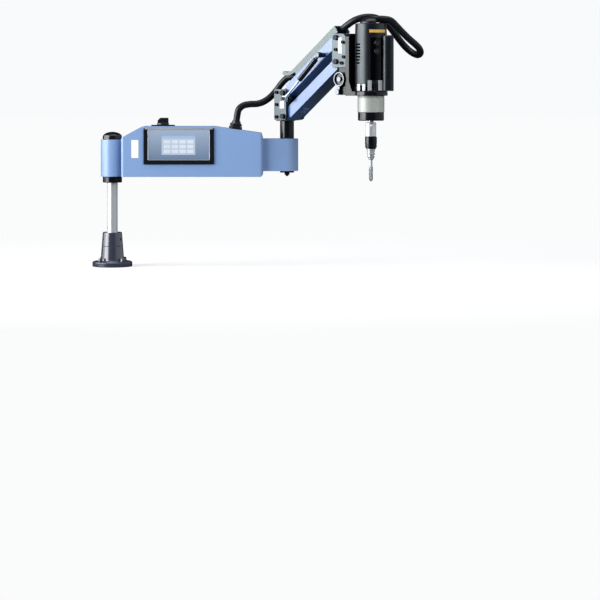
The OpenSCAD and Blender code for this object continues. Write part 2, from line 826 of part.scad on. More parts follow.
module yoke_outline() {
    difference() {
        union() {
            polygon(rounded([
                [block_back, yoke_z0], [yoke_x1, yoke_z0], [yoke_x1, yoke_z1], [block_back, yoke_z1]
            ], [3, 8, 8, 3]));
            children();
        }
        for (p = [low_pin, up_pin]) translate(p) circle(d = pin_d + 0.2);
        for (z = block_screw_z) translate([block_mid, z]) circle(d = screw_d + 0.4);
    }
}

module yoke_near_plate() {
    color(silver) boom_frame() translate([0, -plate_y, 0]) rotate([90, 0, 0]) linear_extrude(plate_t)
        difference() {
            yoke_outline() {
                translate(foot_pin) circle(r = foot_r);
                polygon([
                    [yoke_x1 - 10, foot_pin.y - foot_r], [foot_pin.x, foot_pin.y - foot_r],
                    [foot_pin.x, foot_pin.y + foot_r], [yoke_x1 - 10, foot_pin.y + foot_r]
                ]);
            }
            translate(foot_pin) circle(d = stud_d + 0.2);
        }
}

module yoke_far_plate() {
    color(silver) boom_frame() translate([0, plate_out, 0]) rotate([90, 0, 0]) linear_extrude(plate_t)
        yoke_outline();
}

// A link pin: head on the near side, nut on the far side
module pivot_bolt(p) {
    near_face(p.x, p.y, plate_out) {
        cylinder(d = 1.5 * pin_d, h = 6);
        translate([0, 0, -2 * plate_out - 9]) cylinder(d = pin_d, h = 2 * plate_out + 10);
    }
    far_face(p.x, p.y, plate_out) difference() {
        hex(1.7 * pin_d, 7);
        translate([0, 0, 7]) cylinder(d = pin_d - 1, h = 4);
    }
}

// The stud that an eye of the gas spring turns on, seated at y
module gas_stud(p, y, shank) {
    near_face(p.x, p.y, y) {
        translate([0, 0, -shank]) cylinder(d = stud_d, h = shank + gas_y - y + gas_eye_w / 2 + 0.5);
        cylinder(d = stud_d + 5, h = gas_y - y - gas_eye_w / 2 - seat_gap);
        translate([0, 0, gas_y - y + gas_eye_w / 2 + seat_gap]) cylinder(d = stud_d + 4, h = 2.5);
    }
}

module yoke_bolts() {
    color(steel) boom_frame() {
        for (p = [low_pin, up_pin]) pivot_bolt(p);
        for (z = block_screw_z) {
            near_face(block_mid, z, plate_out) cap_screw(screw_d, plate_t + 12);
            far_face(block_mid, z, plate_out) cap_screw(screw_d, plate_t + 12);
        }
        gas_stud(foot_pin, plate_out, plate_t);
    }
}

// ---------------------------------------------------------------- links, cable cover and gas spring

// One link: a box tube between two eyed ends
module link_body() {
    difference() {
        union() {
            for (x = [0, link_len])
                translate([x, link_w / 2, 0]) rotate([90, 0, 0]) cylinder(r = eye_r, h = link_w);
            translate([0, -link_w / 2 + 2, -neck_h / 2]) cube([link_len, link_w - 4, neck_h]);
            translate([tube_start, -link_w / 2, -link_h / 2])
                cube([link_len - 2 * tube_start, link_w, link_h]);
        }
        translate([tube_start + 30, -link_w / 2 + link_wall, -link_h / 2 + link_wall])
            cube([link_len - 2 * tube_start - 60, link_w - 2 * link_wall, link_h - 2 * link_wall]);
        for (x = [0, link_len]) cross_bore(x, 0, bush_d);
    }
}

module link_bushes() {
    for (x = [0, link_len])
        translate([x, link_w / 2 + 0.2, 0]) rotate([90, 0, 0])
            ring(bush_d - 0.2, pin_d + 2 * run_fit, link_w + 0.4);
}

module upper_link() {
    color(arm_blue) link_frame(up_pin) difference() {
        link_body();
        translate([gas_s, -link_w / 2 + 6.2, -gas_n]) rotate([90, 0, 0]) cylinder(d = stud_d + 0.2, h = 10);
    }
}

module lower_link() {
    color(arm_blue) link_frame(low_pin) {
        link_body();
        // stop block and its screw head under the lower end
        translate([tube_start + 26, -12, -link_h / 2 - 5]) cube([20, 24, 5.5]);
        translate([tube_start + 36, 0, -link_h / 2 - 9]) cylinder(d = 10, h = 5);
    }
}

module upper_link_bushes() color(bronze) link_frame(up_pin) link_bushes();

module lower_link_bushes() color(bronze) link_frame(low_pin) link_bushes();

module cable_trough() {
    color(trough_grey) link_frame(up_pin) translate([0, 0, link_h / 2]) {
        translate([trough_s0, 0, 0]) rotate([90, 0, 90]) linear_extrude(trough_s1 - trough_s0)
            difference() {
                translate([-trough_w / 2, 0]) square([trough_w, trough_h]);
                translate([-trough_w / 2 + trough_t, -1])
                    square([trough_w - 2 * trough_t, trough_h - trough_t + 1]);
            }
        // the mouth curls up over the hose
        translate([trough_s0 + 0.5, 0, trough_h + lip_r - eps]) rotate([90, 0, 0])
            rotate([0, 0, 270 - lip_angle]) translate([0, 0, -trough_w / 2])
                rotate_extrude(angle = lip_angle) {
                    translate([lip_r, lip_in]) square([trough_t, trough_w - 2 * lip_in]);
                    for (y = [lip_in, trough_w - trough_t - lip_in])
                        translate([lip_r, y]) square([lip_skirt, trough_t]);
                }
    }
}

module gas_link_stud() {
    color(steel) link_frame(up_pin)
        gas_stud([gas_s, -gas_n], link_w / 2, 6);
}

module gas_frame(p) boom_frame() translate([p.x, -gas_y, p.y]) rotate([0, -gas_slope, 0]) children();

module gas_eye(bore) {
    difference() {
        rotate([90, 0, 0]) translate([0, 0, -gas_eye_w / 2]) cylinder(d = gas_eye_d, h = gas_eye_w);
        rotate([90, 0, 0]) translate([0, 0, -gas_eye_w]) cylinder(d = bore, h = 2 * gas_eye_w);
    }
}

module gas_spring_tube() {
    color(black) gas_frame(gas_top) {
        gas_eye(stud_d + 2 * run_fit);
        translate([-gas_stem - 0.5, 0, 0]) rotate([0, 90, 0]) cylinder(d = 8, h = gas_stem - stud_d / 2 - 2);
        translate([-gas_stem - gas_tube_l, 0, 0]) rotate([0, 90, 0]) difference() {
            cylinder(d = gas_tube_d, h = gas_tube_l);
            translate([0, 0, -1]) cylinder(d = gas_bore_d, h = gas_tube_l - 4);
        }
    }
}

module gas_spring_rod() {
    color(chrome) gas_frame(foot_pin) {
        gas_eye(stud_d + 2 * run_fit);
        translate([stud_d / 2 + 2, 0, 0]) rotate([0, 90, 0]) cylinder(d = 9, h = 12);
        translate([stud_d / 2 + 2, 0, 0]) rotate([0, 90, 0])
            cylinder(d = gas_rod_d, h = rod_l - stud_d / 2 - 2);
    }
}

// ---------------------------------------------------------------- head brackets and swivel clamp

module head_plate() {
    rotate([90, 0, 0]) linear_extrude(plate_t) difference() {
        polygon(rounded([
            [head_x0, head_z0], [head_x1, head_z0], [head_x1, head_z1], [head_x0, head_z1]
        ], [3, 3, head_corner_r, 3]));
        for (p = [low_head_pin, up_head_pin]) translate(p) circle(d = pin_d + 0.2);
        for (p = web_screws) translate(p) circle(d = 6.4);
        translate([low_head_pin.x, head_mid_z]) circle(d = 6.4);
    }
}

module head_near_plate() color(silver) boom_frame() translate([0, -plate_y, 0]) head_plate();

module head_far_plate() color(silver) boom_frame() translate([0, plate_out, 0]) head_plate();

module head_web() {
    color(black) boom_frame() difference() {
        translate([web_x0, -plate_y + 0.02, head_z0])
            cube([head_x1 - web_x0, 2 * plate_y - 0.04, head_z1 - head_z0]);
        for (p = web_screws) cross_bore(p.x, p.y, 6.2);
    }
}

module head_bolts() {
    color(steel) boom_frame() {
        for (p = [low_head_pin, up_head_pin]) pivot_bolt(p);
        for (p = web_screws) {
            near_face(p.x, p.y, plate_out) cap_screw(6, plate_t + 10);
            far_face(p.x, p.y, plate_out) cap_screw(6, plate_t + 10);
        }
        near_face(low_head_pin.x, head_mid_z, plate_out) cap_screw(6, 2 * plate_out);
        far_face(low_head_pin.x, head_mid_z, plate_out) hex(10, 5);
    }
}

module clamp_block() {
    color(black) boom_frame() difference() {
        translate([clamp_x0, -clamp_w / 2, clamp_z0]) cube([clamp_t, clamp_w, head_z0 - clamp_z0]);
        translate([clamp_x0 - 1, 0, swivel_z]) rotate([0, 90, 0])
            cylinder(d = trunnion_d + 2 * run_fit, h = clamp_t + 2);
        translate([lever_x, 0, swivel_z]) rotate([90, 0, 0])
            cylinder(d = lever_stud_d + 2 * run_fit, h = clamp_w);
        // relief grooves beside the bore
        for (x = [clamp_x0 - eps, head_x1 - 4])
            translate([x, -clamp_w / 2 - 1, clamp_z0 - 1]) cube([4 + eps, clamp_w + 2, 5]);
    }
}

module clamp_lever() {
    color(chrome) boom_frame() near_face(lever_x, swivel_z, clamp_w / 2 + seat_gap) {
        difference() {
            cylinder(r = lever_hub_r, h = lever_hub_t);
            translate([0, 0, lever_hub_t - 5]) ring(2 * lever_hub_r - 7, lever_stud_d + 4, 6);
        }
        translate([0, 0, -clamp_w / 2 + trunnion_d / 2 + 1])
            cylinder(d = lever_stud_d, h = clamp_w / 2 - trunnion_d / 2);
        rotate([0, 0, -90 - lever_tilt]) {
            translate([lever_hub_r - 3, -6, 0]) cube([lever_len - lever_hub_r - 3, 12, 8]);
            translate([lever_len - 6, 0, 0]) cylinder(r = 8, h = 10);
        }
    }
}

module swivel_plate() {
    color(black) boom_frame() difference() {
        union() {
            translate([upright_x0 + upright_t, 0, 0]) rotate([0, -90, 0]) linear_extrude(upright_t)
                polygon(rounded([
                    [seat_z - seat_t, -upright_w / 2], [seat_z + upright_h, -upright_w / 2],
                    [seat_z + upright_h, upright_w / 2], [seat_z - seat_t, upright_w / 2]
                ], [0, 12, 12, 0]));
            translate([0, 0, seat_z - seat_t]) linear_extrude(seat_t) {
                translate([upright_x0, -upright_w / 2]) square([motor_x - upright_x0, upright_w]);
                translate([motor_x, 0]) circle(r = seat_r);
            }
            for (y = [-upright_w / 2, upright_w / 2 - 5])
                side_slab([
                    [upright_x0 + upright_t - 1, seat_z - 1], [upright_x0 + upright_t + 12, seat_z - 1],
                    [upright_x0 + upright_t, seat_z + 28], [upright_x0 + upright_t - 1, seat_z + 28]
                ], y, y + 5);
        }
        translate([motor_x, 0, seat_z - seat_t - 1]) cylinder(d = pilot_d + 0.4, h = seat_t + 2);
        translate([upright_x0 - 1, 0, swivel_z]) rotate([0, 90, 0])
            cylinder(d = spigot_d + 0.2, h = upright_t + 2);
    }
}

module trunnion() {
    color(steel) boom_frame() translate([0, 0, swivel_z]) rotate([0, 90, 0]) {
        translate([0, 0, clamp_x0 - 0.2]) cylinder(d = trunnion_d, h = upright_x0 - clamp_x0 + 0.2);
        translate([0, 0, clamp_x0 - nut_l - 1])
            cylinder(d = spigot_d, h = upright_x0 + upright_t - clamp_x0 + nut_l + 0.5);
    }
}

module trunnion_nut() {
    color(steel) boom_frame() translate([clamp_x0 - seat_gap - 0.2 - nut_l, 0, swivel_z]) rotate([0, 90, 0])
        difference() {
            ring(trunnion_d - 2, spigot_d + 0.2, nut_l);
            for (a = [0 : 90 : 270])
                rotate([0, 0, a]) translate([trunnion_d / 2 - 4, -2.5, -1]) cube([8, 5, nut_l + 2]);
        }
}

// ---------------------------------------------------------------- motor, shell and gearbox

module motor_adapter() {
    color(graphite) head_frame() difference() {
        ring(shell_d, motor_d + 1, adapter_h);
        for (a = [0 : 22.5 : 337.5])
            rotate([0, 0, a + 4]) translate([motor_d / 2 - 1, -window_half, -eps])
                cube([shell_r, 2 * window_half, adapter_h - 5]);
    }
}

module servo_motor() {
    color(black) head_frame() {
        translate([0, 0, -seat_t + 0.5]) cylinder(d = pilot_d, h = seat_t);
        cylinder(d = motor_d, h = motor_h);
        translate([0, 0, motor_h - 1]) cylinder(d = encoder_d, h = encoder_h + 1);
    }
}

module radial(turn, z) rotate([0, 0, turn]) translate([0, 0, z]) rotate([0, 90, 0]) children();

module motor_shell() {
    color(graphite) head_frame() difference() {
        rotate_extrude() polygon([
            [shell_in, adapter_h], [shell_r, adapter_h], [shell_r, shell_top - 30],
            [shell_r - rim_taper, shell_top], [shell_in, shell_top]
        ]);
        for (side = [-1, 1], i = [0 : vent_count - 1])
            rotate([0, 0, side * vent_turn])
                translate([shell_in - 4, -vent_w / 2, vent_z0 + i * vent_pitch])
                    cube([12, vent_w, vent_slot]);
        rotate([0, 0, panel_turn - panel_half]) translate([0, 0, panel_z[0]])
            rotate_extrude(angle = 2 * panel_half)
                translate([shell_r - 0.6, 0]) square([3, panel_z[1] - panel_z[0]]);
        for (z = button_z) radial(panel_turn, z) cylinder(d = button_d + 2 * 0.1, h = shell_d);
    }
}

module shell_cap() {
    color(graphite) head_frame() {
        intersection() {
            translate([0, 0, shell_top]) cylinder(r = cap_rim, h = cap_rise + 1);
            translate([0, 0, crown_z]) sphere(r = crown_r, $fn = 180);
        }
        translate([0, 0, shell_top - 5]) ring(2 * shell_in - 0.4, 2 * shell_in - 6, 5.2);
    }
}

module box_outline(grow) {
    half = box_w / 2 + grow;
    reach = box_reach + grow;
    round_r = box_r + grow;
    translate([0, -half]) square([reach - round_r, 2 * half]);
    translate([0, -half + round_r]) square([reach, 2 * (half - round_r)]);
    for (y = [-1, 1]) translate([reach - round_r, y * (half - round_r)]) circle(r = round_r);
}

module connector_box() {
    color(graphite) head_frame() rotate([0, 0, box_turn]) difference() {
        translate([0, 0, 1]) linear_extrude(box_h) box_outline(0);
        translate([0, 0, 1 + box_wall]) linear_extrude(box_h - 2 * box_wall) box_outline(-box_wall);
        translate([0, 0, -1]) cylinder(r = shell_r + seat_gap, h = box_h + 4);
    }
}

// A domed boot that sits on the crown of the cap, with the barrel for the hose
module head_gland() {
    steps = 10;
    dome = [for (i = [0 : steps]) [boot_r * cos(90 * i / steps), boot_h * sin(90 * i / steps)]];
    color(black) head_frame() rotate([0, 0, boom_yaw]) difference() {
        union() {
            translate([0, 0, shell_top]) rotate_extrude() polygon(concat([[0, 0]], dome));
            translate([0, 0, barrel_z]) sphere(d = barrel_d);
            translate([0, 0, barrel_z]) rotate([0, 90, 0]) cylinder(d = barrel_d, h = barrel_out);
        }
        translate([0, 0, crown_z]) sphere(r = crown_r + seat_gap, $fn = 180);
        translate([barrel_out, -boot_r, shell_top - 1]) cube([boot_r, 2 * boot_r, 2 * boot_h]);
    }
}

module push_button(z) {
    color(silver) head_frame() radial(panel_turn, z) {
        translate([0, 0, button_in]) cylinder(d = button_d, h = shell_r - 0.6 + button_out - button_in);
        translate([0, 0, button_in]) cylinder(d = button_d + 4, h = button_skirt);
    }
}

module start_button() push_button(button_z[1]);

module reverse_button() push_button(button_z[0]);

module gearbox_housing() {
    r = gearbox_d / 2;
    color(gear_grey) head_frame() rotate_extrude() polygon([
        [0, gearbox_z], [r - 1, gearbox_z], [r, gearbox_z + 1], [r, -seat_t - 6],
        [r - 1, -seat_t - 5], [r - 1, -seat_t - 4], [r, -seat_t - 3], [r, -seat_t], [0, -seat_t]
    ]);
}

module gearbox_nose() {
    r = nose_d / 2;
    color(black) head_frame() rotate_extrude() polygon([
        [neck_d / 2 + 1, nose_z], [r - 2, nose_z], [r, nose_z + 2], [r, gearbox_z],
        [bearing_od / 2, gearbox_z], [bearing_od / 2, nose_z + nose_lip],
        [neck_d / 2 + 1, nose_z + nose_lip]
    ]);
}

module spindle_bearing()
    head_frame() translate([0, 0, nose_z + nose_lip]) bearing(neck_d, bearing_od, bearing_w);

// ---------------------------------------------------------------- spindle, chuck and tap

module spindle() {
    r = chuck_d / 2;
    color(chrome) head_frame() difference() {
        rotate_extrude() polygon([
            [0, chuck_end], [chuck_nose_d / 2 - 1, chuck_end], [chuck_nose_d / 2, chuck_end + 1],
            [chuck_nose_d / 2, shoulder_z], [r, shoulder_z], [r, chuck_z - 1], [r - 1, chuck_z],
            [neck_d / 2, chuck_z], [neck_d / 2, gearbox_z - 1], [0, gearbox_z - 1]
        ]);
        translate([0, 0, chuck_end - 1]) cylinder(d = holder_shank_d + 0.2, h = shank_in + 1);
        // cross hole and key slot of the quick-change body
        translate([0, 0, chuck_z - 8.5]) rotate([90, 0, boom_yaw])
            cylinder(d = 6, h = chuck_d, center = true);
        rotate([0, 0, boom_yaw + 90]) translate([r - 3, -2.5, shoulder_z + 2])
            cube([6, 5, chuck_h - 20]);
    }
}

module chuck_sleeve() {
    r = sleeve_d / 2;
    pitch = 4.4;
    color(black) head_frame() translate([0, 0, sleeve_z]) rotate_extrude() polygon(concat(
        [[sleeve_bore / 2, 0], [r - 3, 0], [r - 3, 3]],
        [for (i = [0 : 2], p = [[-1, 0.4], [-1, 1.6], [0, 2], [0, 4]]) [r + p.x, 3 + i * pitch + p.y]],
        [[r, sleeve_h - 2], [r - 2, sleeve_h], [sleeve_bore / 2, sleeve_h]]
    ));
}

module tap_holder() {
    r = holder_d / 2;
    color(steel) head_frame() difference() {
        rotate_extrude() polygon([
            [0, tap_top], [6, tap_top], [7.8, tap_top + 2], [7.8, holder_end], [r - 2, holder_end],
            [r - 1, holder_end + 2], [r - 1, holder_end + 5], [r - 2.5, holder_end + 6],
            [r - 2.5, holder_end + 8], [r, holder_end + 9], [r, holder_end + 13],
            [r - 1.5, holder_end + 14], [r - 1.5, holder_end + 16], [r, holder_end + 17],
            [r, holder_top - 1], [r - 1, holder_top], [holder_shank_d / 2, holder_top],
            [holder_shank_d / 2, holder_top + shank_in - 2], [0, holder_top + shank_in - 2]
        ]);
        translate([0, 0, tap_top - 1]) cylinder(d = tap_shank_d + 0.2, h = 25);
    }
}

module tap() {
    point_l = 6;
    color(steel) head_frame() difference() {
        rotate_extrude() polygon([
            [0, tap_end], [tap_d / 2 - 2.2, tap_end], [tap_d / 2, tap_end + point_l],
            [tap_d / 2, tap_end + tap_flute_l - 2], [tap_shank_d / 2, tap_end + tap_flute_l],
            [tap_shank_d / 2, tap_top + 23], [0, tap_top + 23]
        ]);
        for (i = [0 : flute_count - 1])
            rotate([0, 0, 20 + i * 360 / flute_count]) translate([tap_d / 2 + 0.4, 0, tap_end - 1])
                cylinder(d = tap_d * 0.42, h = tap_flute_l - 4, $fn = 32);
    }
}

module hose_upper() color(black) hose(upper_route);

// ---------------------------------------------------------------- drawn pieces

base_flange();
column_sleeve();
column();
grub_screws();
stop_collar();
arm_casting();
hub_bearings();
hub_cap();
arm_rear_cover();
rear_cover_screws();
screen_frame();
screen_glass();
display_module();
control_board();
switch_body();
cable_gland();
pivot_bearings();
switch_knob();
hose_lower();
pivot_shaft();
shaft_washer();
shaft_nut();
yoke_block();
yoke_near_plate();
yoke_far_plate();
yoke_bolts();
upper_link();
upper_link_bushes();
cable_trough();
gas_link_stud();
lower_link();
lower_link_bushes();
gas_spring_tube();
gas_spring_rod();
head_near_plate();
head_far_plate();
head_web();
head_bolts();
clamp_block();
clamp_lever();
swivel_plate();
trunnion();
trunnion_nut();
motor_adapter();
servo_motor();
motor_shell();
shell_cap();
connector_box();
head_gland();
gearbox_housing();
gearbox_nose();
spindle_bearing();
hose_upper();
start_button();
reverse_button();
spindle();
chuck_sleeve();
tap_holder();
tap();
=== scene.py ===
"""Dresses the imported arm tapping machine: a finish for every surface, rounded edges, the two
cable hoses, flange screws, the lit screen, blank labels, the head's trim and a threaded tap."""

import json
import math

import bmesh
import bpy
import numpy as np
from bpy.props import FloatProperty, FloatVectorProperty, IntProperty, PointerProperty
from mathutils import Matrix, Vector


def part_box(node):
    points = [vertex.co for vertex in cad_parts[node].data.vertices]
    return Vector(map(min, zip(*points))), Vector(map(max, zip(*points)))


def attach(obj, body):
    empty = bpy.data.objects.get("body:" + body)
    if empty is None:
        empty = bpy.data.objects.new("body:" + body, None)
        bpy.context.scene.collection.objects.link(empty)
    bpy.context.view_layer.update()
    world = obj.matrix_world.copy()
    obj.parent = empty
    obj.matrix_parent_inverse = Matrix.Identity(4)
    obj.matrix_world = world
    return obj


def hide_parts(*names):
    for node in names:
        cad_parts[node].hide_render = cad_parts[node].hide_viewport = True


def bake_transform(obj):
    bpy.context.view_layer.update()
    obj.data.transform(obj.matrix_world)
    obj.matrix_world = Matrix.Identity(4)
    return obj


bl_info = {
    "name": "Arm Tapping Machine Dresser",
    "version": (1, 0, 0),
    "blender": (4, 5, 0),
    "location": "3D View > Sidebar > Tapping Machine",
    "description": "Finishes, hoses, screws, screen and studio for the arm tapping machine",
    "category": "Object",
}

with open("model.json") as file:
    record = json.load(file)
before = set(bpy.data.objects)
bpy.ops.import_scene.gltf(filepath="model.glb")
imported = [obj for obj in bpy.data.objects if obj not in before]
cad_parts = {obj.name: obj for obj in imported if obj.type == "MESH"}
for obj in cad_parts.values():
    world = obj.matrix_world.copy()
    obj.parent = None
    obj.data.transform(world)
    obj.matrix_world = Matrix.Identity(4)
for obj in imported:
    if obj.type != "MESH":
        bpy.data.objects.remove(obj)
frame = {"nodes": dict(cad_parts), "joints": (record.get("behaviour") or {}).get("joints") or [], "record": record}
NODES = frame["nodes"]
RECORD = frame["record"]
BODY_OF = {n: b for b, nodes in RECORD["behaviour"]["bodies"].items() for n in nodes}
SLOT_OF = {s["node"]: s["material_slot"] for s in RECORD["subparts"]}
JOINT = {j["name"]: j for j in frame["joints"]}
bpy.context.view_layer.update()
MM = 0.001


def corners(node):
    """Lowest and highest corner of a CAD node as two arrays, in metres."""
    low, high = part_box(node)
    return np.array(low), np.array(high)


def middle(node):
    """Centre of a CAD node's box."""
    low, high = corners(node)
    return (low + high) / 2


# The boom's swing axis along x, and its directions: along it, towards its far side, and up
REACH = JOINT["boom_swing"]["pos_m"][0]
ALONG = np.array(JOINT["head_swivel"]["axis"], float)
ACROSS = -np.array(JOINT["lift"]["axis"], float)
UP = np.array([0.0, 0.0, 1.0])
BOOM_TURN = math.atan2(ALONG[1], ALONG[0])

# The head's upright axis, as a point on the floor
HEAD = middle("gearbox_housing") * [1, 1, 0]

# The upper link: its pin on the yoke, its length between pins, and its directions
LINK_PIN = np.array(JOINT["lift"]["pos_m"])
LINK = np.array(JOINT["head_level"]["pos_m"]) - LINK_PIN
LINK_LENGTH = float(np.linalg.norm(LINK))
LINK_WAY = LINK / LINK_LENGTH
LINK_UP = np.cross(LINK_WAY, ACROSS)
LINK_UP = LINK_UP * np.sign(LINK_UP[2])


def boom(along, across, up):
    """A point given in the boom's own directions from its swing axis, all in millimetres."""
    return np.array([REACH, 0, 0]) + (along * ALONG + across * ACROSS + up * UP) * MM


def on_link(along, up):
    """A point along the upper link and above its centre line, from its pin, in millimetres."""
    return LINK_PIN + (along * LINK_WAY + up * LINK_UP) * MM


def linear(red, green, blue):
    """The scene-linear colour of screen values from 0 to 255: the standard screen curve,
    a short straight foot and then a power."""
    c = np.array([red, green, blue]) / 255
    return tuple(np.where(c <= 0.04045, c / 12.92, ((c + 0.055) / 1.055) ** 2.4))


# ------------------------------------------------------------------ sizes and colours


def length(name, text, default, low, high):
    """A size in metres, with its least and its largest value."""
    return FloatProperty(name=name, description=text, default=default, min=low, max=high,
                         unit="LENGTH", subtype="DISTANCE", precision=4)


def colour(name, text, default):
    """A scene-linear colour."""
    return FloatVectorProperty(name=name, description=text, default=default, size=3, min=0,
                               max=1, subtype="COLOR")


def power(name, text, default):
    """The power of a light, in watts."""
    return FloatProperty(name=name, description=text, default=default, min=0, unit="POWER")


class TappingHoses(bpy.types.PropertyGroup):
    diameter: length("Diameter", "Outside diameter of both cable hoses", 0.019, 0.01, 0.03)
    step: length("Step", "Distance from one ring of points to the next", 0.0025, 0.001, 0.01)
    sides: IntProperty(name="Sides", description="Points round a hose", default=32, min=8, max=64)


class TappingPaint(bpy.types.PropertyGroup):
    arm: colour("Arm", "Enamel of the arm", linear(124, 154, 199))
    link: colour("Links", "Enamel of the two links", linear(70, 110, 165))
    base: colour("Base", "Enamel of the base and its sleeve", linear(48, 53, 70))
    shell: colour("Shell", "Moulding of the motor shell", linear(12, 14, 19))
    bracket: colour("Brackets", "Machined plates of the boom", linear(84, 91, 95))
    trough: colour("Cable cover", "Sheet cover on the upper link", linear(92, 110, 112))
    gearbox: colour("Gearbox", "Turned aluminium housing", linear(168, 174, 169))
    peel: length("Orange peel", "Height of the waves in the paint", 0.00004, 0, 0.0005)


class TappingDetail(bpy.types.PropertyGroup):
    edge: length("Edge rounding", "Radius of a machined edge", 0.0005, 0.0001, 0.002)
    casting_edge: length("Casting edges", "Radius of the arm casting's edges", 0.0003, 0.0001, 0.001)
    screw: length("Flange screws", "Thread diameter of the flange screws", 0.008, 0.005, 0.01)
    thread_pitch: length("Tap pitch", "Pitch of the tap's thread", 0.00175, 0.0005, 0.003)
    thread_depth: length("Tap thread depth", "Depth of the tap's thread", 0.0006, 0.0002, 0.002)


class TappingScreen(bpy.types.PropertyGroup):
    lit: colour("Lit area", "Colour of the lit panel", linear(170, 183, 200))
    top: colour("Glass top", "Colour of the glass near its top", linear(152, 168, 190))
    bottom: colour("Glass bottom", "Colour of the glass near its bottom", linear(98, 118, 145))
    rim: length("Silver rim", "Width of the bright rim round the glass", 0.0012, 0.0005, 0.003)
    strip: length("Top strip", "Height of the silver strip above the glass", 0.0034, 0.001, 0.006)


class TappingStage(bpy.types.PropertyGroup):
    floor: colour("Floor", "Colour of the floor", (0.86, 0.87, 0.88))
    shade: FloatProperty(name="Floor shade", description="How much of the floor's own shading shows",
                         default=0.42, min=0, max=1)
    key: power("Left light", "Power of the left softbox", 224)
    fill: power("Right light", "Power of the right softbox", 95)
    edge: power("Edge light", "Power of the box that only metal and gloss reflect", 75)
    back: power("Back light", "Power of the softbox behind", 60)
    top: power("Top light", "Power of the overhead softbox", 36)
    ambient: FloatProperty(name="Ambient", description="Strength of the even light", default=0.2,
                           min=0)


# ------------------------------------------------------------------ surfaces from numpy

# Points nearer than the first are one point, and an edge shorter than the second is none
SAME_POINT = 1e-7
NO_EDGE = 1e-8

# Points on each corner of a rounded rectangle
CORNER_STEPS = 6


def cells(rows, columns, close_rows=False, close_columns=True):
    """Corner numbers of every cell between neighbouring points of a rows by columns grid."""
    r = np.arange(rows if close_rows else rows - 1)[:, None]
    c = np.arange(columns if close_columns else columns - 1)[None, :]
    r1, c1 = (r + 1) % rows, (c + 1) % columns
    return np.stack([r * columns + c, r * columns + c1, r1 * columns + c1, r1 * columns + c],
                    -1).reshape(-1, 4)


def surface(name, grid, close_rows=False, close_columns=True, sharp=35):
    """Puts a grid of points into a smooth mesh; doubled points at poles are merged, and edges
    that bend by more than sharp degrees stay sharp."""
    rows, columns = grid.shape[:2]
    mesh = bpy.data.meshes.new(name)
    faces = cells(rows, columns, close_rows, close_columns)
    mesh.from_pydata(grid.reshape(-1, 3).tolist(), [], faces.tolist())
    work = bmesh.new()
    work.from_mesh(mesh)
    bmesh.ops.remove_doubles(work, verts=work.verts, dist=SAME_POINT)
    bmesh.ops.dissolve_degenerate(work, edges=work.edges, dist=NO_EDGE)
    bmesh.ops.recalc_face_normals(work, faces=work.faces)
    work.to_mesh(mesh)
    work.free()
    mesh.shade_smooth()
    mesh.set_sharp_from_angle(angle=math.radians(sharp))
    piece = bpy.data.objects.new(name, mesh)
    bpy.context.scene.collection.objects.link(piece)
    return piece


def lathe(radius, height, turns=64, shape=None):
    """A profile carried round the upright axis: x = r cos t, y = r sin t, z = height.
    shape(r, height, t) may change the radius round the turn."""
    t = np.arange(turns) / turns * 2 * np.pi
    r, h = np.meshgrid(np.asarray(radius, float), t, indexing="ij")[0], np.asarray(height, float)
    if shape is not None:
        r = shape(r, h[:, None], t[None, :])
    return np.stack([r * np.cos(t), r * np.sin(t), np.broadcast_to(h[:, None], r.shape)], -1)


def hexagon(across, t):
    """Distance from the centre to a hexagon's side: half its width over cos of the turn from it."""
    return across / 2 / np.cos((t + np.pi / 6) % (np.pi / 3) - np.pi / 6)


def rounded_outline(width, height, radius):
    """Points of a rounded rectangle: four corner centres plus radius times cos and sin."""
    turn = np.linspace(0, np.pi / 2, CORNER_STEPS) + np.arange(4)[:, None] * np.pi / 2
    sign = np.array([[1, 1], [-1, 1], [-1, -1], [1, -1]])
    centre = sign * [width / 2 - radius, height / 2 - radius]
    ring = centre[:, None, :] + radius * np.stack([np.cos(turn), np.sin(turn)], -1)
    return ring.reshape(-1, 2)


def stacked(width, height, radius, levels):
    """Rounded rectangles stacked into one shape: each level is an inset and a height. A side
    or radius that the inset uses up stays just above nothing."""
    least_side, least_radius = 1e-6, 1e-7
    rings = []
    for inset, rise in levels:
        w, h = max(width - 2 * inset, least_side), max(height - 2 * inset, least_side)
        ring = rounded_outline(w, h, min(max(radius - inset, least_radius), w / 2, h / 2))
        rings.append(np.c_[ring, np.full(len(ring), rise)])
    return np.array(rings)


def place(grid, origin, right, up):
    """Carries a shape to its place: origin + x right + y up + z outwards."""
    right, up = np.array(right, float), np.array(up, float)
    return np.array(origin) + grid[..., :1] * right + grid[..., 1:2] * up \
        + grid[..., 2:] * np.cross(right, up)


def label_shape(width, height, radius=0.0015, thick=0.0003):
    """A thin rounded plate, its top edge broken by a small bevel."""
    half, bevel = min(width, height) / 2, 0.4 * thick
    return stacked(width, height, radius, [(half, 0), (0, 0), (0, thick - bevel),
                                           (bevel, thick), (half, thick)])


def sheet_round(radius, turn0, turn1, z0, z1, thick, steps=40):
    """A thin plate bent round the head's axis: radius plus thickness on a grid of turn and
    height, with its border drawn back into what carries it."""
    sunk = 0.0004
    t = np.r_[turn0, np.linspace(turn0, turn1, steps), turn1]
    z = np.r_[z0, z0, (z0 + z1) / 2, z1, z1]
    rise = np.ones((len(z), len(t)))
    rise[0] = rise[-1] = rise[:, 0] = rise[:, -1] = 0
    r = radius - sunk + rise * (thick + sunk)
    tt, zz = np.meshgrid(t, z)
    return HEAD + np.stack([r * np.cos(tt), r * np.sin(tt), zz], -1)


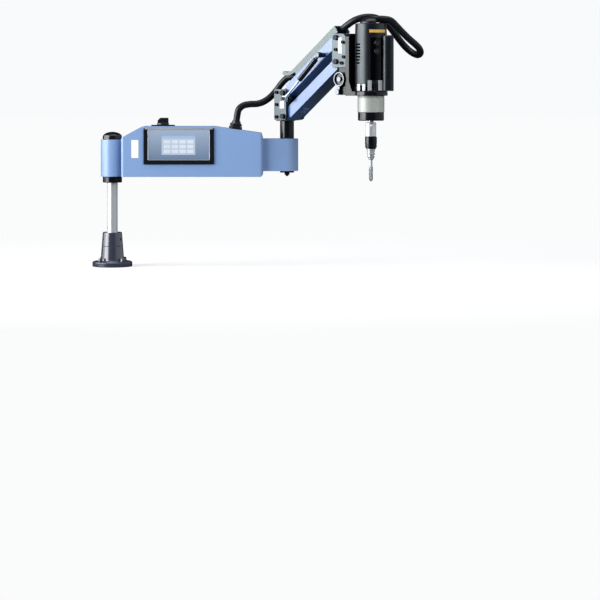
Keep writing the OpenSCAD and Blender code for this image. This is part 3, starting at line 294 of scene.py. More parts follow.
def smooth_path(points, step):
    """A Catmull-Rom curve through the points, resampled to even steps: each stretch is the
    cubic whose ends move along the line between the neighbours."""
    parts = 24
    p = np.vstack([2 * points[0] - points[1], points, 2 * points[-1] - points[-2]])
    u = np.linspace(0, 1, parts, endpoint=False)[None, :, None]
    a, b, c, d = (p[i:len(p) - 3 + i, None, :] for i in range(4))
    curve = 0.5 * (2 * b + (c - a) * u + (2 * a - 5 * b + 4 * c - d) * u ** 2
                   + (3 * b - a - 3 * c + d) * u ** 3)
    curve = np.vstack([curve.reshape(-1, 3), points[-1]])
    run = np.r_[0, np.cumsum(np.linalg.norm(np.diff(curve, axis=0), axis=1))]
    even = np.linspace(0, run[-1], max(int(round(run[-1] / step)), 2) + 1)
    return np.stack([np.interp(even, run, curve[:, k]) for k in range(3)], -1)


def tube(path, radius, sides, first_side):
    """A ring of points square to the path at each of its points, the side direction carried
    along without twist: side = side - (side . way) way, made unit length."""
    way = np.gradient(path, axis=0)
    way /= np.linalg.norm(way, axis=1, keepdims=True)
    side = np.empty_like(path)
    current = np.array(first_side, float)
    for i, w in enumerate(way):
        current = current - (current @ w) * w
        current /= np.linalg.norm(current)
        side[i] = current
    other = np.cross(way, side)
    t = np.arange(sides) / sides * 2 * np.pi
    return path[:, None] + radius * (
        np.cos(t)[:, None] * side[:, None] + np.sin(t)[:, None] * other[:, None])


def finish_piece(piece, slot, body=None, *nodes, look=None):
    """Gives a piece its material, the body it moves with and the CAD nodes it stands for."""
    piece.data.materials.clear()
    piece.data.materials.append(finish_for(look or slot))
    if body:
        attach(piece, body)
    if nodes:
        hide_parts(*nodes)


# ------------------------------------------------------------------ shader maths


class Value:
    """A number, colour or vector that varies over a surface; + - * / ** on it add nodes."""

    def __init__(self, finish, socket):
        self.finish, self.socket = finish, socket

    def math(self, operation, *values, clamp=False):
        """Adds one Math node, each value in its next socket."""
        return self.finish.node("Math", {"operation": operation, "use_clamp": clamp},
                                dict(enumerate(values)))

    def __add__(self, other):
        return self.math("ADD", self, other)

    def __radd__(self, other):
        return self.math("ADD", other, self)

    def __sub__(self, other):
        return self.math("SUBTRACT", self, other)

    def __rsub__(self, other):
        return self.math("SUBTRACT", other, self)

    def __mul__(self, other):
        return self.math("MULTIPLY", self, other)

    def __rmul__(self, other):
        return self.math("MULTIPLY", other, self)

    def __truediv__(self, other):
        return self.math("DIVIDE", self, other)

    def __pow__(self, other):
        return self.math("POWER", self, other)

    def fraction(self):
        """What is left after the whole number, so that a pattern repeats."""
        return self.math("FRACT", self)

    def above(self, edge, soft):
        """0 below the edge and 1 above it, with a ramp of the given width."""
        return self.math("ADD", (self - edge) / soft, 0.5, clamp=True)

    def within(self, low, high, soft):
        """1 between two edges and 0 outside them, with the same ramp at both."""
        return self.above(low, soft) * (1 - self.above(high, soft))


class Finish:
    """A procedural material while its nodes are put together."""

    def __init__(self, name):
        self.material = bpy.data.materials.new(name)
        self.material.use_nodes = True
        self.tree = self.material.node_tree
        self.tree.nodes.clear()
        self.place = self.node("TexCoord", output="Object")

    def node(self, kind, settings=None, inputs=None, output=0):
        """Adds a node: its settings first, then the values or links of its inputs."""
        node = self.tree.nodes.new("ShaderNode" + kind)
        for key, value in (settings or {}).items():
            setattr(node, key, value)
        for key, value in (inputs or {}).items():
            if isinstance(value, Value):
                self.tree.links.new(value.socket, node.inputs[key])
            else:
                node.inputs[key].default_value = value
        return Value(self, node.outputs[output])

    def axes(self):
        """The place's x, y and z in metres."""
        split = self.node("SeparateXYZ", inputs={0: self.place}).socket.node
        return [Value(self, split.outputs[i]) for i in range(3)]

    def along(self, direction):
        """How far the place lies along a direction, in metres."""
        return self.node("VectorMath", {"operation": "DOT_PRODUCT"},
                         {0: self.place, 1: tuple(direction)}, output="Value")

    def vector(self, x, y, z):
        """A vector from three numbers."""
        return self.node("CombineXYZ", inputs={0: x, 1: y, 2: z})

    def noise(self, scale, detail=2.0, rough=0.5, at=None):
        """Smooth noise from 0 to 1 with scale waves to a metre, at the place or at a vector."""
        return self.node("TexNoise", {"noise_dimensions": "3D"},
                         {"Vector": at or self.place, "Scale": scale, "Detail": detail,
                          "Roughness": rough})

    def mix(self, share, first, second):
        """A colour between two colours, by the Mix node's sockets for colours."""
        factor, first_colour, second_colour, mixed = 0, 6, 7, 2
        ends = [c if isinstance(c, Value) else (*c, 1.0) for c in (first, second)]
        return self.node("Mix", {"data_type": "RGBA"},
                         {factor: share, first_colour: ends[0], second_colour: ends[1]},
                         output=mixed)

    def bump(self, height, distance):
        """A normal that follows a height from 0 to 1, which stands for distance metres."""
        return self.node("Bump", inputs={"Height": height, "Distance": distance, "Strength": 1.0})

    def done(self, base, **inputs):
        """Ends the material in one principled shader."""
        names = {"rough": "Roughness", "metal": "Metallic", "coat": "Coat Weight",
                 "coat_rough": "Coat Roughness", "normal": "Normal", "glow": "Emission Color",
                 "glow_level": "Emission Strength", "specular": "Specular IOR Level",
                 "tint": "Specular Tint"}
        values = {names[k]: (*v, 1.0) if isinstance(v, tuple) else v for k, v in inputs.items()}
        return self.end(self.node("BsdfPrincipled", inputs={**values, "Base Color": base}))

    def end(self, shader):
        """Links a shader to the material's output."""
        out = self.tree.nodes.new("ShaderNodeOutputMaterial")
        self.tree.links.new(shader.socket, out.inputs["Surface"])
        return self.material


def darker(c, share):
    """A colour times a number, which makes it lighter where the number is above 1."""
    return tuple(v * share for v in c)


def enamel(name, tone, peel, gloss=0.28, coat=0.25):
    """Sprayed enamel: a faint cloud and fine dark specks in the colour, a gloss that varies a
    little, and small waves in the surface."""
    f = Finish(name)
    cloud = f.noise(9, 3)
    specks = f.noise(1400, 1)
    base = f.mix(cloud.above(0.5, 0.6), darker(tone, 0.94), tone)
    base = f.mix(specks.above(0.72, 0.04) * 0.25, base, darker(tone, 0.6))
    return f.done(base, rough=gloss + 0.08 * f.noise(30, 3), coat=coat, coat_rough=0.2,
                  normal=f.bump(f.noise(420, 2), peel))


def brushed(name, tone, way, other, rough=0.3, metal=1.0, scratch=0.00003):
    """Brushed or ground metal: noise drawn out along one direction. long_waves and fine_waves
    are its waves to a metre along the brushing and across it."""
    f = Finish(name)
    long_waves, fine_waves = 30, 1500
    streaks = f.noise(1, 4, 0.6, f.vector(f.along(way) * long_waves, f.along(other) * fine_waves,
                                          f.along(np.cross(way, other)) * fine_waves))
    cloud = f.noise(14, 3)
    base = f.mix(streaks, darker(tone, 0.86), tone)
    base = f.mix(cloud.above(0.55, 0.5) * 0.35, base, darker(tone, 0.8))
    return f.done(base, metal=metal, rough=rough - 0.06 + 0.16 * streaks + 0.06 * cloud,
                  normal=f.bump(streaks, scratch))


def turned(name, tone, rough, rings=1500, depth=0.00002, metal=1.0, dark=0.8):
    """Metal off a lathe: fine rings that follow the height, and a faint cloud. side_waves are
    the noise's waves to a metre round a ring."""
    f = Finish(name)
    x, y, z = f.axes()
    side_waves = 12
    lines = f.noise(1, 3, 0.7, f.vector(x * side_waves, y * side_waves, z * rings))
    cloud = f.noise(25, 3)
    base = f.mix(lines, darker(tone, dark), tone)
    return f.done(f.mix(cloud * 0.25, base, darker(tone, 0.75)), metal=metal,
                  rough=rough - 0.04 + 0.12 * lines + 0.05 * cloud, normal=f.bump(lines, depth))


def blackened(name, tone, grain, rough=0.14, depth=0.000006, coat=0.0, metal=0.0,
              tint=(1.0, 1.0, 1.0)):
    """Blackened steel or hard plastic: fine grain and rubbed, greyer patches."""
    f = Finish(name)
    grain_height = f.noise(grain, 3, 0.6)
    worn = f.noise(35, 4, 0.6).above(0.58, 0.2)
    base = f.mix(worn * 0.4, tone, darker(tone, 2.2))
    return f.done(base, metal=metal, rough=rough + 0.12 * f.noise(60, 2) - 0.05 * worn, coat=coat,
                  coat_rough=rough, specular=0.5, tint=tint, normal=f.bump(grain_height, depth))


def board_finish(name):
    """A circuit board: solder mask with straight tracks, plated pads and dark parts."""
    f = Finish(name)
    x, y, z = f.axes()
    tracks_per_m, pads_per_m, board_half = 180, 260, 0.004
    mask, copper, plating, part_black = (linear(18, 92, 58), linear(40, 132, 84),
                                         linear(196, 178, 112), linear(30, 31, 34))
    tracks = (x * tracks_per_m).fraction().within(0.4, 0.6, 0.1) * f.noise(30, 0).above(0.5, 0.1)
    off_pad = ((x * pads_per_m).fraction() - 0.5) ** 2 + ((z * pads_per_m).fraction() - 0.5) ** 2
    pads = (1 - off_pad.above(0.05, 0.01)) * f.noise(45, 0).above(0.56, 0.05)
    parts = 1 - y.above(middle("control_board")[1] + board_half, 0.0005)
    base = f.mix(pads, f.mix(tracks, mask, copper), plating)
    return f.done(f.mix(parts, base, part_black), rough=0.35 + 0.1 * f.noise(90))


def screen_finish(name, s):
    """The panel behind its glass: a lit rectangle with a header, plain fields in a grid and a
    few bars on them, on a graded ground. All places on it are in millimetres from the glass's
    lower left corner."""
    f = Finish(name)
    low, _ = corners("screen_glass")
    x, _, z = f.axes()
    u, v = (x - low[0]) / MM, (z - low[2]) / MM
    lit_left, lit_right, lit_foot, lit_head, header_foot = 37.5, 133, 13.8, 67.6, 60
    grid_left, grid_right, grid_foot, grid_head = 43, 130, 18, 57
    field_wide, field_tall = 22, 13.5
    bars_per_mm, bars_left, bars_right = 0.5, 48, 76
    glass_middle, glass_fade = 36, 86
    lit = u.within(lit_left, lit_right, 0.6) * v.within(lit_foot, lit_head, 0.6)
    header = v.within(header_foot, lit_head, 0.4)
    across, down = (u - grid_left) / field_wide, (v - grid_foot) / field_tall
    fields = across.fraction().within(0.05, 0.86, 0.02) * down.fraction().within(0.07, 0.78, 0.04) \
        * u.within(grid_left, grid_right, 0.5) * v.within(grid_foot, grid_head, 0.5)
    lines = (v * bars_per_mm).fraction().within(0.3, 0.55, 0.1) * fields \
        * u.within(bars_left, bars_right, 0.5)
    ground = f.mix(v.above(glass_middle, glass_fade), tuple(s.bottom), tuple(s.top))
    ground = f.mix(f.noise(8, 2) * 0.25, ground, darker(s.bottom, 0.8))
    page = f.mix(header * 0.6, tuple(s.lit), linear(132, 164, 206))
    page = f.mix(fields * 0.45, page, linear(226, 233, 240))
    page = f.mix(lines * 0.35, page, linear(120, 146, 180))
    return f.done(f.mix(lit, ground, page), rough=0.16 + 0.05 * f.noise(60), coat=0.6,
                  coat_rough=0.04, glow=f.mix(lit, (0.0, 0.0, 0.0), page), glow_level=0.06,
                  normal=f.bump(f.noise(300, 1), 0.000004))


def printed(name, tone, rough):
    """A blank printed film: a faint mottle in its tone, its gloss and its surface."""
    f = Finish(name)
    return f.done(f.mix(f.noise(120, 3).above(0.5, 0.5) * 0.35, tone, darker(tone, 0.86)),
                  rough=rough + 0.1 * f.noise(80, 2), coat=0.3, coat_rough=0.15,
                  normal=f.bump(f.noise(700, 2), 0.00001))


def hose_finish(name):
    """Smooth black conduit: satin, with greyer dusty patches."""
    f = Finish(name)
    dust = f.noise(180, 4, 0.65).above(0.6, 0.3)
    base = f.mix(dust * 0.3, (0.005, 0.005, 0.007), (0.02, 0.021, 0.024))
    return f.done(base, rough=0.26 + 0.2 * f.noise(90, 3), tint=(0.5, 0.56, 0.62),
                  normal=f.bump(f.noise(1600, 2), 0.00001))


def recipes():
    """What each finish is made by and from."""
    paint = bpy.context.scene.tapping_paint
    arm, link, base, shell, bracket, trough, gearbox = (
        tuple(getattr(paint, k))
        for k in ("arm", "link", "base", "shell", "bracket", "trough", "gearbox"))
    peel, right = paint.peel, np.array([1.0, 0, 0])
    return {
        "arm_paint": (enamel, dict(tone=arm, peel=peel)),
        "link_paint": (enamel, dict(tone=link, peel=peel, gloss=0.26, coat=1.0)),
        "base_paint": (enamel, dict(tone=base, peel=peel, gloss=0.18, coat=1.0)),
        "trough_grey": (enamel, dict(tone=trough, peel=peel, gloss=0.38)),
        "bright_chrome": (turned, dict(tone=linear(218, 224, 232), rough=0.3, rings=900,
                                       depth=0.000002, metal=0.65, dark=0.96)),
        "lever_chrome": (turned, dict(tone=linear(112, 118, 124), rough=0.26, rings=900,
                                      depth=0.000002)),
        "bearing_steel": (turned, dict(tone=linear(168, 172, 176), rough=0.2)),
        "tool_steel": (turned, dict(tone=linear(186, 194, 198), rough=0.3, depth=0.000003,
                                    metal=0.6, dark=0.92)),
        "gearbox_grey": (turned, dict(tone=gearbox, rough=0.42, rings=1700, metal=0.3, dark=0.93)),
        "bronze": (turned, dict(tone=linear(188, 142, 78), rough=0.36)),
        "screw_steel": (brushed, dict(tone=linear(104, 107, 112), way=right, other=UP, rough=0.32,
                                      scratch=0.00001)),
        "bolt_dark": (brushed, dict(tone=linear(38, 41, 46), way=right, other=UP, rough=0.26,
                                    scratch=0.00001)),
        "rim_silver": (brushed, dict(tone=linear(206, 212, 220), way=UP, other=ALONG, metal=0.6)),
        "lug_silver": (brushed, dict(tone=linear(176, 184, 190), way=UP, other=ALONG, rough=0.4,
                                     metal=0.5)),
        "bracket_silver": (brushed, dict(tone=bracket, way=ALONG, other=UP, rough=0.34)),
        "black_steel": (blackened, dict(tone=(0.0035, 0.0045, 0.0065), grain=900, metal=0.2)),
        "black_gloss": (blackened, dict(tone=(0.004, 0.005, 0.007), rough=0.13, grain=300)),
        "black_matte": (blackened, dict(tone=(0.003, 0.0045, 0.008), rough=0.26, grain=1100,
                                        depth=0.00002)),
        "display_dark": (blackened, dict(tone=(0.035, 0.037, 0.04), rough=0.5, grain=800,
                                         depth=0.00003)),
        "shell_gloss": (blackened, dict(tone=shell, rough=0.3, grain=240, depth=0.000002,
                                        coat=0.25, tint=(0.75, 0.92, 1.0))),
        "gloss_panel": (blackened, dict(tone=(0.001, 0.001, 0.0015), rough=0.06, grain=200,
                                        depth=0.000003, tint=(0.2, 0.2, 0.22))),
        "board_green": (board_finish, {}),
        "hose_black": (hose_finish, {}),
        "screen_glass": (screen_finish, dict(s=bpy.context.scene.tapping_screen)),
        "blank_label": (printed, dict(tone=linear(238, 240, 240), rough=0.4)),
        "gold_band": (printed, dict(tone=linear(198, 158, 72), rough=0.3)),
    }


FINISHES = {}


def finish_for(name):
    """Makes the named finish the first time it is asked for."""
    if name not in FINISHES:
        maker, values = recipes()[name]
        FINISHES[name] = maker("finish_" + name, **values)
    return FINISHES[name]


# ------------------------------------------------------------------ operators


class TAPPING_OT_camera(bpy.types.Operator):
    """Stands a level camera in front of the machine, at the photograph's distance"""
    bl_idname = "tapping.camera"
    bl_label = "Camera"

    def execute(self, context):
        sensor_mm, lens_mm, nearest, farthest = 36, 139.6, 0.1, 60
        right_shift, up_shift = 0.01, -0.345
        data = bpy.data.cameras.new("camera")
        data.sensor_width, data.lens = sensor_mm, lens_mm
        data.shift_x, data.shift_y = right_shift, up_shift
        data.clip_start, data.clip_end = nearest, farthest
        camera = bpy.data.objects.new("camera", data)
        camera.location = (0.52, -6.663, 0.496)
        camera.rotation_euler = (math.pi / 2, 0, 0)
        context.scene.collection.objects.link(camera)
        context.scene.camera = camera
        return {"FINISHED"}


def route(*points):
    """Points given in millimetres."""
    return [np.array(p) * MM for p in points]


def hose_points():
    """The two hoses' routes, each in two stretches that meet on the yoke or the head bracket."""
    # The arm's sloping top, in millimetres, and the hose's way out of the gland on it
    slope_start, slope_top, slope_run, slope_drop = 291, 401.3, 136, 19.3
    gland_along, gland_tall, straight = 352, 24, 18
    tilt = math.atan2(slope_drop, slope_run)
    out = np.array([math.sin(tilt), 0, math.cos(tilt)]) * MM
    foot = slope_top - slope_drop * (gland_along - slope_start) / slope_run
    mouth = np.array([gland_along, 0, foot]) * MM + gland_tall * out
    # How high the hose's middle runs above the upper link's centre line, under the cable cover
    link_half, hose_half, clear = 15.5, 9.5, 0.25
    rise = link_half + hose_half + clear
    lower_a = [mouth, mouth + straight * out] + route(
        [362, 0, 449], [375, 2, 460], [394, 5, 464], [414, 9, 465], [433, 14, 471],
        [453, 19, 485], [470, 21, 504])
    lower_b = route([485, 12, 524]) + [on_link(*p) for p in (
        (7, 46), (17, 42.5), (28, 36.5), (40, 30.5), (52, 26.5), (64, rise), (80, rise))]
    link_mm = LINK_LENGTH / MM
    upper_a = [on_link(link_mm - 10, rise), on_link(link_mm + 6, rise)] + route(
        [671, -168, 687], [690, -178, 699], [714, -182, 706.5], [740, -178, 707])
    # The loop over the head ends level in the barrel of its gland
    barrel_half, end_out, end_straight = 0.010, 0.014, 0.02
    end = np.array([HEAD[0] + end_out, HEAD[1], corners("head_gland")[1][2] - barrel_half])
    upper_b = route(
        [765, -168, 698.5], [785, -160, 683], [801, -157, 663], [816, -157, 643],
        [832, -161, 624], [849, -171, 609], [864, -188, 602], [871, -205, 608],
        [866, -221, 620], [855, -229, 631], [843, -233, 641], [832, -235, 651],
        [820, -235, 663], [804, -235, 680], [787, -234, 696])
    upper_b += [end + [end_straight, 0, 0], end]
    return (lower_a, lower_b), (upper_a, upper_b)


# Each stretch of hose: the node it stands for, the bodies it joins, and the shares of its length
# between which it bends from one to the next
STRETCHES = {
    "hose_lower_a": ("hose_lower", "box_arm", "yoke", 0.12, 0.95),
    "hose_lower_b": ("hose_lower", "yoke", "upper_link", 0.05, 0.7),
    "hose_upper_a": ("hose_upper", "upper_link", "head_bracket", 0.0, 0.58),
    "hose_upper_b": ("hose_upper", "head_bracket", "head", 0.06, 0.94),
}


class TAPPING_OT_hoses(bpy.types.Operator):
    """Runs smooth cable hoses from the arm's gland to the boom, and from the boom to the head"""
    bl_idname = "tapping.hoses"
    bl_label = "Cable hoses"

    def execute(self, context):
        s = context.scene.tapping_hoses
        names = iter(STRETCHES)
        for halves in hose_points():
            path = smooth_path(np.array(halves[0] + halves[1]), s.step)
            rings = tube(path, s.diameter / 2, s.sides, ACROSS)
            split = int(np.argmin(np.linalg.norm(path - halves[0][-1], axis=1)))
            for part in (slice(0, split + 1), slice(split, None)):
                self.stretch(next(names), path[part], rings[part], s.diameter)
        return {"FINISHED"}

    @staticmethod
    def stretch(name, line, skin, diameter):
        """One closed stretch of hose with its ends capped, standing for its CAD node."""
        node, body, next_body, first, last = STRETCHES[name]
        closed = np.concatenate([np.broadcast_to(line[:1, None], skin[:1].shape), skin,
                                 np.broadcast_to(line[-1:, None], skin[:1].shape)])
        piece = surface(name, closed, sharp=75)
        finish_piece(piece, "hose_black", None, node)
        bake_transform(piece)
        line[::3].tolist() + [line[-1].tolist()]


# Places of a CAD node that are nearer than this are one point, and triangles that meet at less
# than FLAT degrees are one face; an edge that bends by more than CREASE degrees is rounded in
# ROUND_STEPS steps, and FLAT_PULL is how strongly the large faces lead its shading
WELD = 2e-6
FLAT = 0.5
CREASE = 32
ROUND_STEPS = 2
FLAT_PULL = 80


def soften(node, width):
    """A merged copy of a CAD node with its edges rounded, standing for the node: equal points
    are found by rounding their places, flat triangles join, then edges get a small radius."""
    source = NODES[node].data
    place_of = np.empty(len(source.vertices) * 3, np.float32)
    source.vertices.foreach_get("co", place_of)
    source.calc_loop_triangles()
    corner = np.empty(len(source.loop_triangles) * 3, np.int32)
    source.loop_triangles.foreach_get("vertices", corner)
    place_of = place_of.reshape(-1, 3)
    _, first, where = np.unique(np.round(place_of / WELD).astype(np.int64), axis=0,
                                return_index=True, return_inverse=True)
    faces = where.reshape(-1)[corner].reshape(-1, 3)
    faces = faces[(faces[:, 0] != faces[:, 1]) & (faces[:, 1] != faces[:, 2])
                  & (faces[:, 2] != faces[:, 0])]
    mesh = bpy.data.meshes.new(node + "_soft")
    mesh.from_pydata(place_of[first].tolist(), [], faces.tolist())
    work = bmesh.new()
    work.from_mesh(mesh)
    bmesh.ops.dissolve_limit(work, angle_limit=math.radians(FLAT), verts=work.verts,
                             edges=work.edges)
    work.to_mesh(mesh)
    work.free()
    mesh.shade_smooth()
    mesh.set_sharp_from_angle(angle=math.radians(CREASE))
    piece = bpy.data.objects.new(node + "_soft", mesh)
    bpy.context.scene.collection.objects.link(piece)
    bevel = piece.modifiers.new("rounding", "BEVEL")
    bevel.width, bevel.segments = width, ROUND_STEPS
    bevel.limit_method, bevel.angle_limit = "ANGLE", math.radians(CREASE)
    bevel.use_clamp_overlap = False
    normals = piece.modifiers.new("normals", "WEIGHTED_NORMAL")
    normals.keep_sharp, normals.weight = True, FLAT_PULL
    return piece


# How strongly a node's edges are rounded, as a share of the machined edge; the others have 1
ROUNDING = {node: share for share, nodes in {
    0.2: "control_board",
    0.4: "grub_screws hub_bearings screen_glass pivot_bearings upper_link_bushes "
         "lower_link_bushes spindle_bearing",
    0.5: "rear_cover_screws cable_trough chuck_sleeve tap_holder",
    0.6: "display_module yoke_bolts gas_link_stud gas_spring_rod head_bolts gearbox_housing",
    0.7: "spindle",
    0.8: "column_sleeve stop_collar shaft_nut trunnion trunnion_nut motor_adapter servo_motor "
         "motor_shell head_gland",
    1.2: "base_flange switch_body yoke_near_plate yoke_far_plate head_near_plate head_far_plate "
         "clamp_block start_button reverse_button",
    1.4: "screen_frame switch_knob swivel_plate shell_cap connector_box",
    1.6: "upper_link lower_link",
}.items() for node in nodes.split()}


# Nodes whose finish is a variant of their slot's
LOOKS = {"clamp_lever": "lever_chrome", "head_bolts": "bolt_dark", "yoke_bolts": "bolt_dark",
         "upper_link": "link_paint", "lower_link": "link_paint"}


class TAPPING_OT_castings(bpy.types.Operator):
    """Rounds the edges of every rigid piece and gives each one its finish"""
    bl_idname = "tapping.castings"
    bl_label = "Rounded pieces"

    def execute(self, context):
        s = context.scene.tapping_detail
        for node in NODES:
            if node in ("hose_lower", "hose_upper", "tap"):
                continue
            width = s.casting_edge if node == "arm_casting" else s.edge * ROUNDING.get(node, 1)
            finish_piece(soften(node, width), SLOT_OF[node], BODY_OF[node], node,
                         look=LOOKS.get(node))
        return {"FINISHED"}


def cap_screw(size):
    """A socket head screw with its washer, in shares of its thread: a lathed profile whose
    rings in the socket are hexagons and whose side carries a fine knurl."""
    head, washer, washer_tall, deep = 0.75, 1.0, 0.2, 0.5
    socket, across_flats, knurl_deep, knurls, turns = 0.43, 0.76, 0.02, 36, 144
    top = washer_tall + 1
    plain, knurled, six_sided = 0, 1, 2
    profile = np.array([
        [0, 0, plain], [washer - 0.02, 0, plain], [washer, washer_tall * 0.3, plain],
        [washer, washer_tall, plain], [head, washer_tall, plain],
        [head, washer_tall + 0.1, knurled], [head, top - 0.15, knurled],
        [head - 0.08, top, plain], [socket + 0.04, top, plain],
        [socket, top - 0.03, six_sided], [socket, top - deep, six_sided],
        [0, top - deep - 0.1, plain]])
    kind = profile[:, 2][:, None]

    def shape(r, h, t):
        """The ring's radius: less a cosine on the knurled rings, a hexagon in the socket."""
        knurl = r - knurl_deep * size * (0.5 + 0.5 * np.cos(t * knurls))
        six = hexagon(across_flats * size, t) + 0 * r
        return np.where(kind == knurled, knurl, np.where(kind == six_sided, six, r))

    return lathe(profile[:, 0] * size, profile[:, 1] * size, turns, shape)


class TAPPING_OT_flange_screws(bpy.types.Operator):
    """Puts a washer and a socket head screw over each hole of the base flange"""
    bl_idname = "tapping.flange_screws"
    bl_label = "Flange screws"

    def execute(self, context):
        size = context.scene.tapping_detail.screw
        mount = next(m for m in RECORD["mounts"] if m["name"] == "base_bolts")
        radius, count = mount["dims"]["pcd_mm"] / 2 * MM, int(mount["dims"]["count"])
        first_turn, flange_top = math.pi / 4, 0.015
        for i in range(count):
            turn = first_turn + i * 2 * math.pi / count
            centre = np.array([radius * math.cos(turn), radius * math.sin(turn), flange_top])
            piece = surface(f"flange_screw_{i + 1}", cap_screw(size) + centre)
            finish_piece(piece, "screw_steel", "base")
        return {"FINISHED"}


class TAPPING_OT_screen(bpy.types.Operator):
    """Runs a bright rim round the glass of the touch screen and a silver strip above it"""
    bl_idname = "tapping.screen"
    bl_label = "Screen rim"

    def execute(self, context):
        s = context.scene.tapping_screen
        gap, sunk, corner, shoulder, proud = 0.0005, 0.0003, 0.0014, 0.0005, 0.0008
        low, high = corners("screen_glass")
        frame_low, frame_high = corners("screen_frame")
        width, _, height = high - low + 2 * gap
        levels = [(0, 0), (-s.rim * 0.1, shoulder), (-s.rim * 0.5, proud),
                  (-s.rim * 0.9, shoulder), (-s.rim, 0)]
        ring = stacked(width, height, corner, levels)
        centre = [(low[0] + high[0]) / 2, frame_low[1] + sunk, (low[2] + high[2]) / 2]
        rim = surface("screen_rim", place(ring, centre, (1, 0, 0), UP), close_rows=True)
        finish_piece(rim, "rim_silver", "box_arm")
        margin, strip_corner = 0.004, 0.0004
        centre = [(frame_low[0] + frame_high[0]) / 2, frame_low[1],
                  frame_high[2] - s.strip / 2 - gap]
        plate = label_shape(frame_high[0] - frame_low[0] - 2 * margin, s.strip, strip_corner)
        strip = surface("screen_strip", place(plate, centre, (1, 0, 0), UP))
        finish_piece(strip, "rim_silver", "box_arm")
        return {"FINISHED"}


# The front faces of the plates on the boom's near side, in millimetres across the boom
NEAR_FACE = -36.0

# Each blank label: its centre, the direction of its width, its width, its height and its body
LABELS = {
    "arm_label": ((0.0676, -0.050, 0.3368), (1, 0, 0), 0.020, 0.051, "box_arm"),
    "yoke_label": (boom(15, NEAR_FACE, 462.5), ALONG, 0.016, 0.020, "yoke"),
    "bracket_label": (boom(244.5, NEAR_FACE, 628), ALONG, 0.013, 0.044, "head_bracket"),
}


class TAPPING_OT_labels(bpy.types.Operator):
    """Sticks the blank labels on the arm, the yoke and the head bracket"""
    bl_idname = "tapping.labels"
    bl_label = "Blank labels"

    def execute(self, context):
        for name, (centre, right, width, height, body) in LABELS.items():
            plate = place(label_shape(width, height), centre, right, UP)
            finish_piece(surface(name, plate), "blank_label", body)
        return {"FINISHED"}


# Each thin plate bent round the head: its first and last turn from the boom's direction in
# degrees, its foot and top, how far its seat lies inside the shell, and its thickness
SHELL_PLATES = {
    "gold_band": (-53, 15, 0.6622, 0.6704, 0.0002, 0.00025),
    "gloss_panel": (-48.5, 3, 0.5315, 0.6480, 0, 0.0003),
}

# The adapter's lugs on one side: first and last turn in degrees, and the height over the rest
LUGS = [(-107, -90, 0), (-78.8, -67.5, 0), (-58.7, -44.2, 0.010), (-20, 12, 0.010)]


class TAPPING_OT_shell_trim(bpy.types.Operator):
    """Puts the gold band, the gloss panel and the button rings on the motor shell, the lugs on
    its adapter, the moulding on the connector box and a black ring of painted shade on the
    floor of the lever's recess"""
    bl_idname = "tapping.shell_trim"
    bl_label = "Shell trim"

    def execute(self, context):
        low, high = corners("motor_shell")
        shell = (high - low)[0] / 2
        for name, (first, last, foot, top, sunk, thick) in SHELL_PLATES.items():
            self.bent_plate(name, name, shell - sunk, (first, last), (foot, top), thick)
        for node in ("start_button", "reverse_button"):
            self.button_ring(node, shell)
        low, high = corners("motor_adapter")
        foot, tall, thick, steps = low[2] + 0.0025, 0.018, 0.0005, 12
        lugs = LUGS + [(first + 180, last + 180, more) for first, last, more in LUGS]
        for k, (first, last, more) in enumerate(lugs):
            self.bent_plate(f"adapter_lug_{k + 1}", "lug_silver", (high - low)[0] / 2,
                            (first, last), (foot, foot + tall + more), thick, steps)
        self.box_front()
        self.lever_recess()
        return {"FINISHED"}

    @staticmethod
    def bent_plate(name, finish, radius, turns, levels, thick, steps=40):
        """A thin plate on the motor shell or its adapter."""
        first, last = (BOOM_TURN + math.radians(turn) for turn in turns)
        plate = sheet_round(radius, first, last, *levels, thick, steps)
        finish_piece(surface(name, plate, close_columns=False), finish, "head")

    @staticmethod
    def button_ring(node, shell):
        """A ring round a button: a small circle carried round the button's axis, its lower
        part sunk in the shell."""
        ring_radius, wire, rise, sunk = 0.0086, 0.0010, 0.0006, 0.0004
        wire_sides, ring_sides, button_turn = 12, 48, math.radians(-23)
        turn = BOOM_TURN + button_turn
        out = np.array([math.cos(turn), math.sin(turn), 0])
        t = np.arange(wire_sides) / wire_sides * 2 * np.pi
        ring = lathe(ring_radius + wire * np.cos(t), rise + wire * np.sin(t), ring_sides)
        centre = HEAD + out * (shell - sunk) + [0, 0, middle(node)[2]]
        piece = surface(node + "_ring", place(ring, centre, np.cross(UP, out), UP), close_rows=True)
        finish_piece(piece, "black_gloss", "head")

    @staticmethod
    def box_front():
        """The round moulding down the front of the connector box: an upright oval column,
        x = a cos t and y = b sin t, half sunk in the box, its ends drawn in."""
        low, high = corners("connector_box")
        wide, deep, foot_edge, top_edge, sides = 0.0156, 0.0105, 0.0012, 0.003, 64
        t = np.arange(sides) / sides * 2 * np.pi
        rings = [(wide, low[2]), (foot_edge, low[2]), (0, low[2] + foot_edge),
                 (0, high[2] - top_edge), (top_edge, high[2]), (wide, high[2])]
        grid = np.array([np.c_[(wide - inset) * np.cos(t), max(deep - inset, 0) * np.sin(t),
                               np.full(len(t), z)] for inset, z in rings])
        piece = surface("connector_front", grid + [high[0] - wide, low[1], 0])
        finish_piece(piece, "shell_gloss", "head")

    @staticmethod
    def lever_recess():
        """A thin black ring of painted shade on the floor of the lever's recess, square to the lever's axis."""
        inner, outer, thick, out = 0.0072, 0.0163, 0.0004, 0.0073
        lever = JOINT["lever_turn"]
        ring = lathe([inner, outer, outer, inner], [0, 0, thick, thick])
        centre = np.array(lever["pos_m"]) + np.array(lever["axis"]) * out
        piece = surface("lever_recess", place(ring, centre, ALONG, UP), close_rows=True)
        # the black gloss ring is painted shade in the lever's recess
        finish_piece(piece, "black_gloss", "clamp_lever")


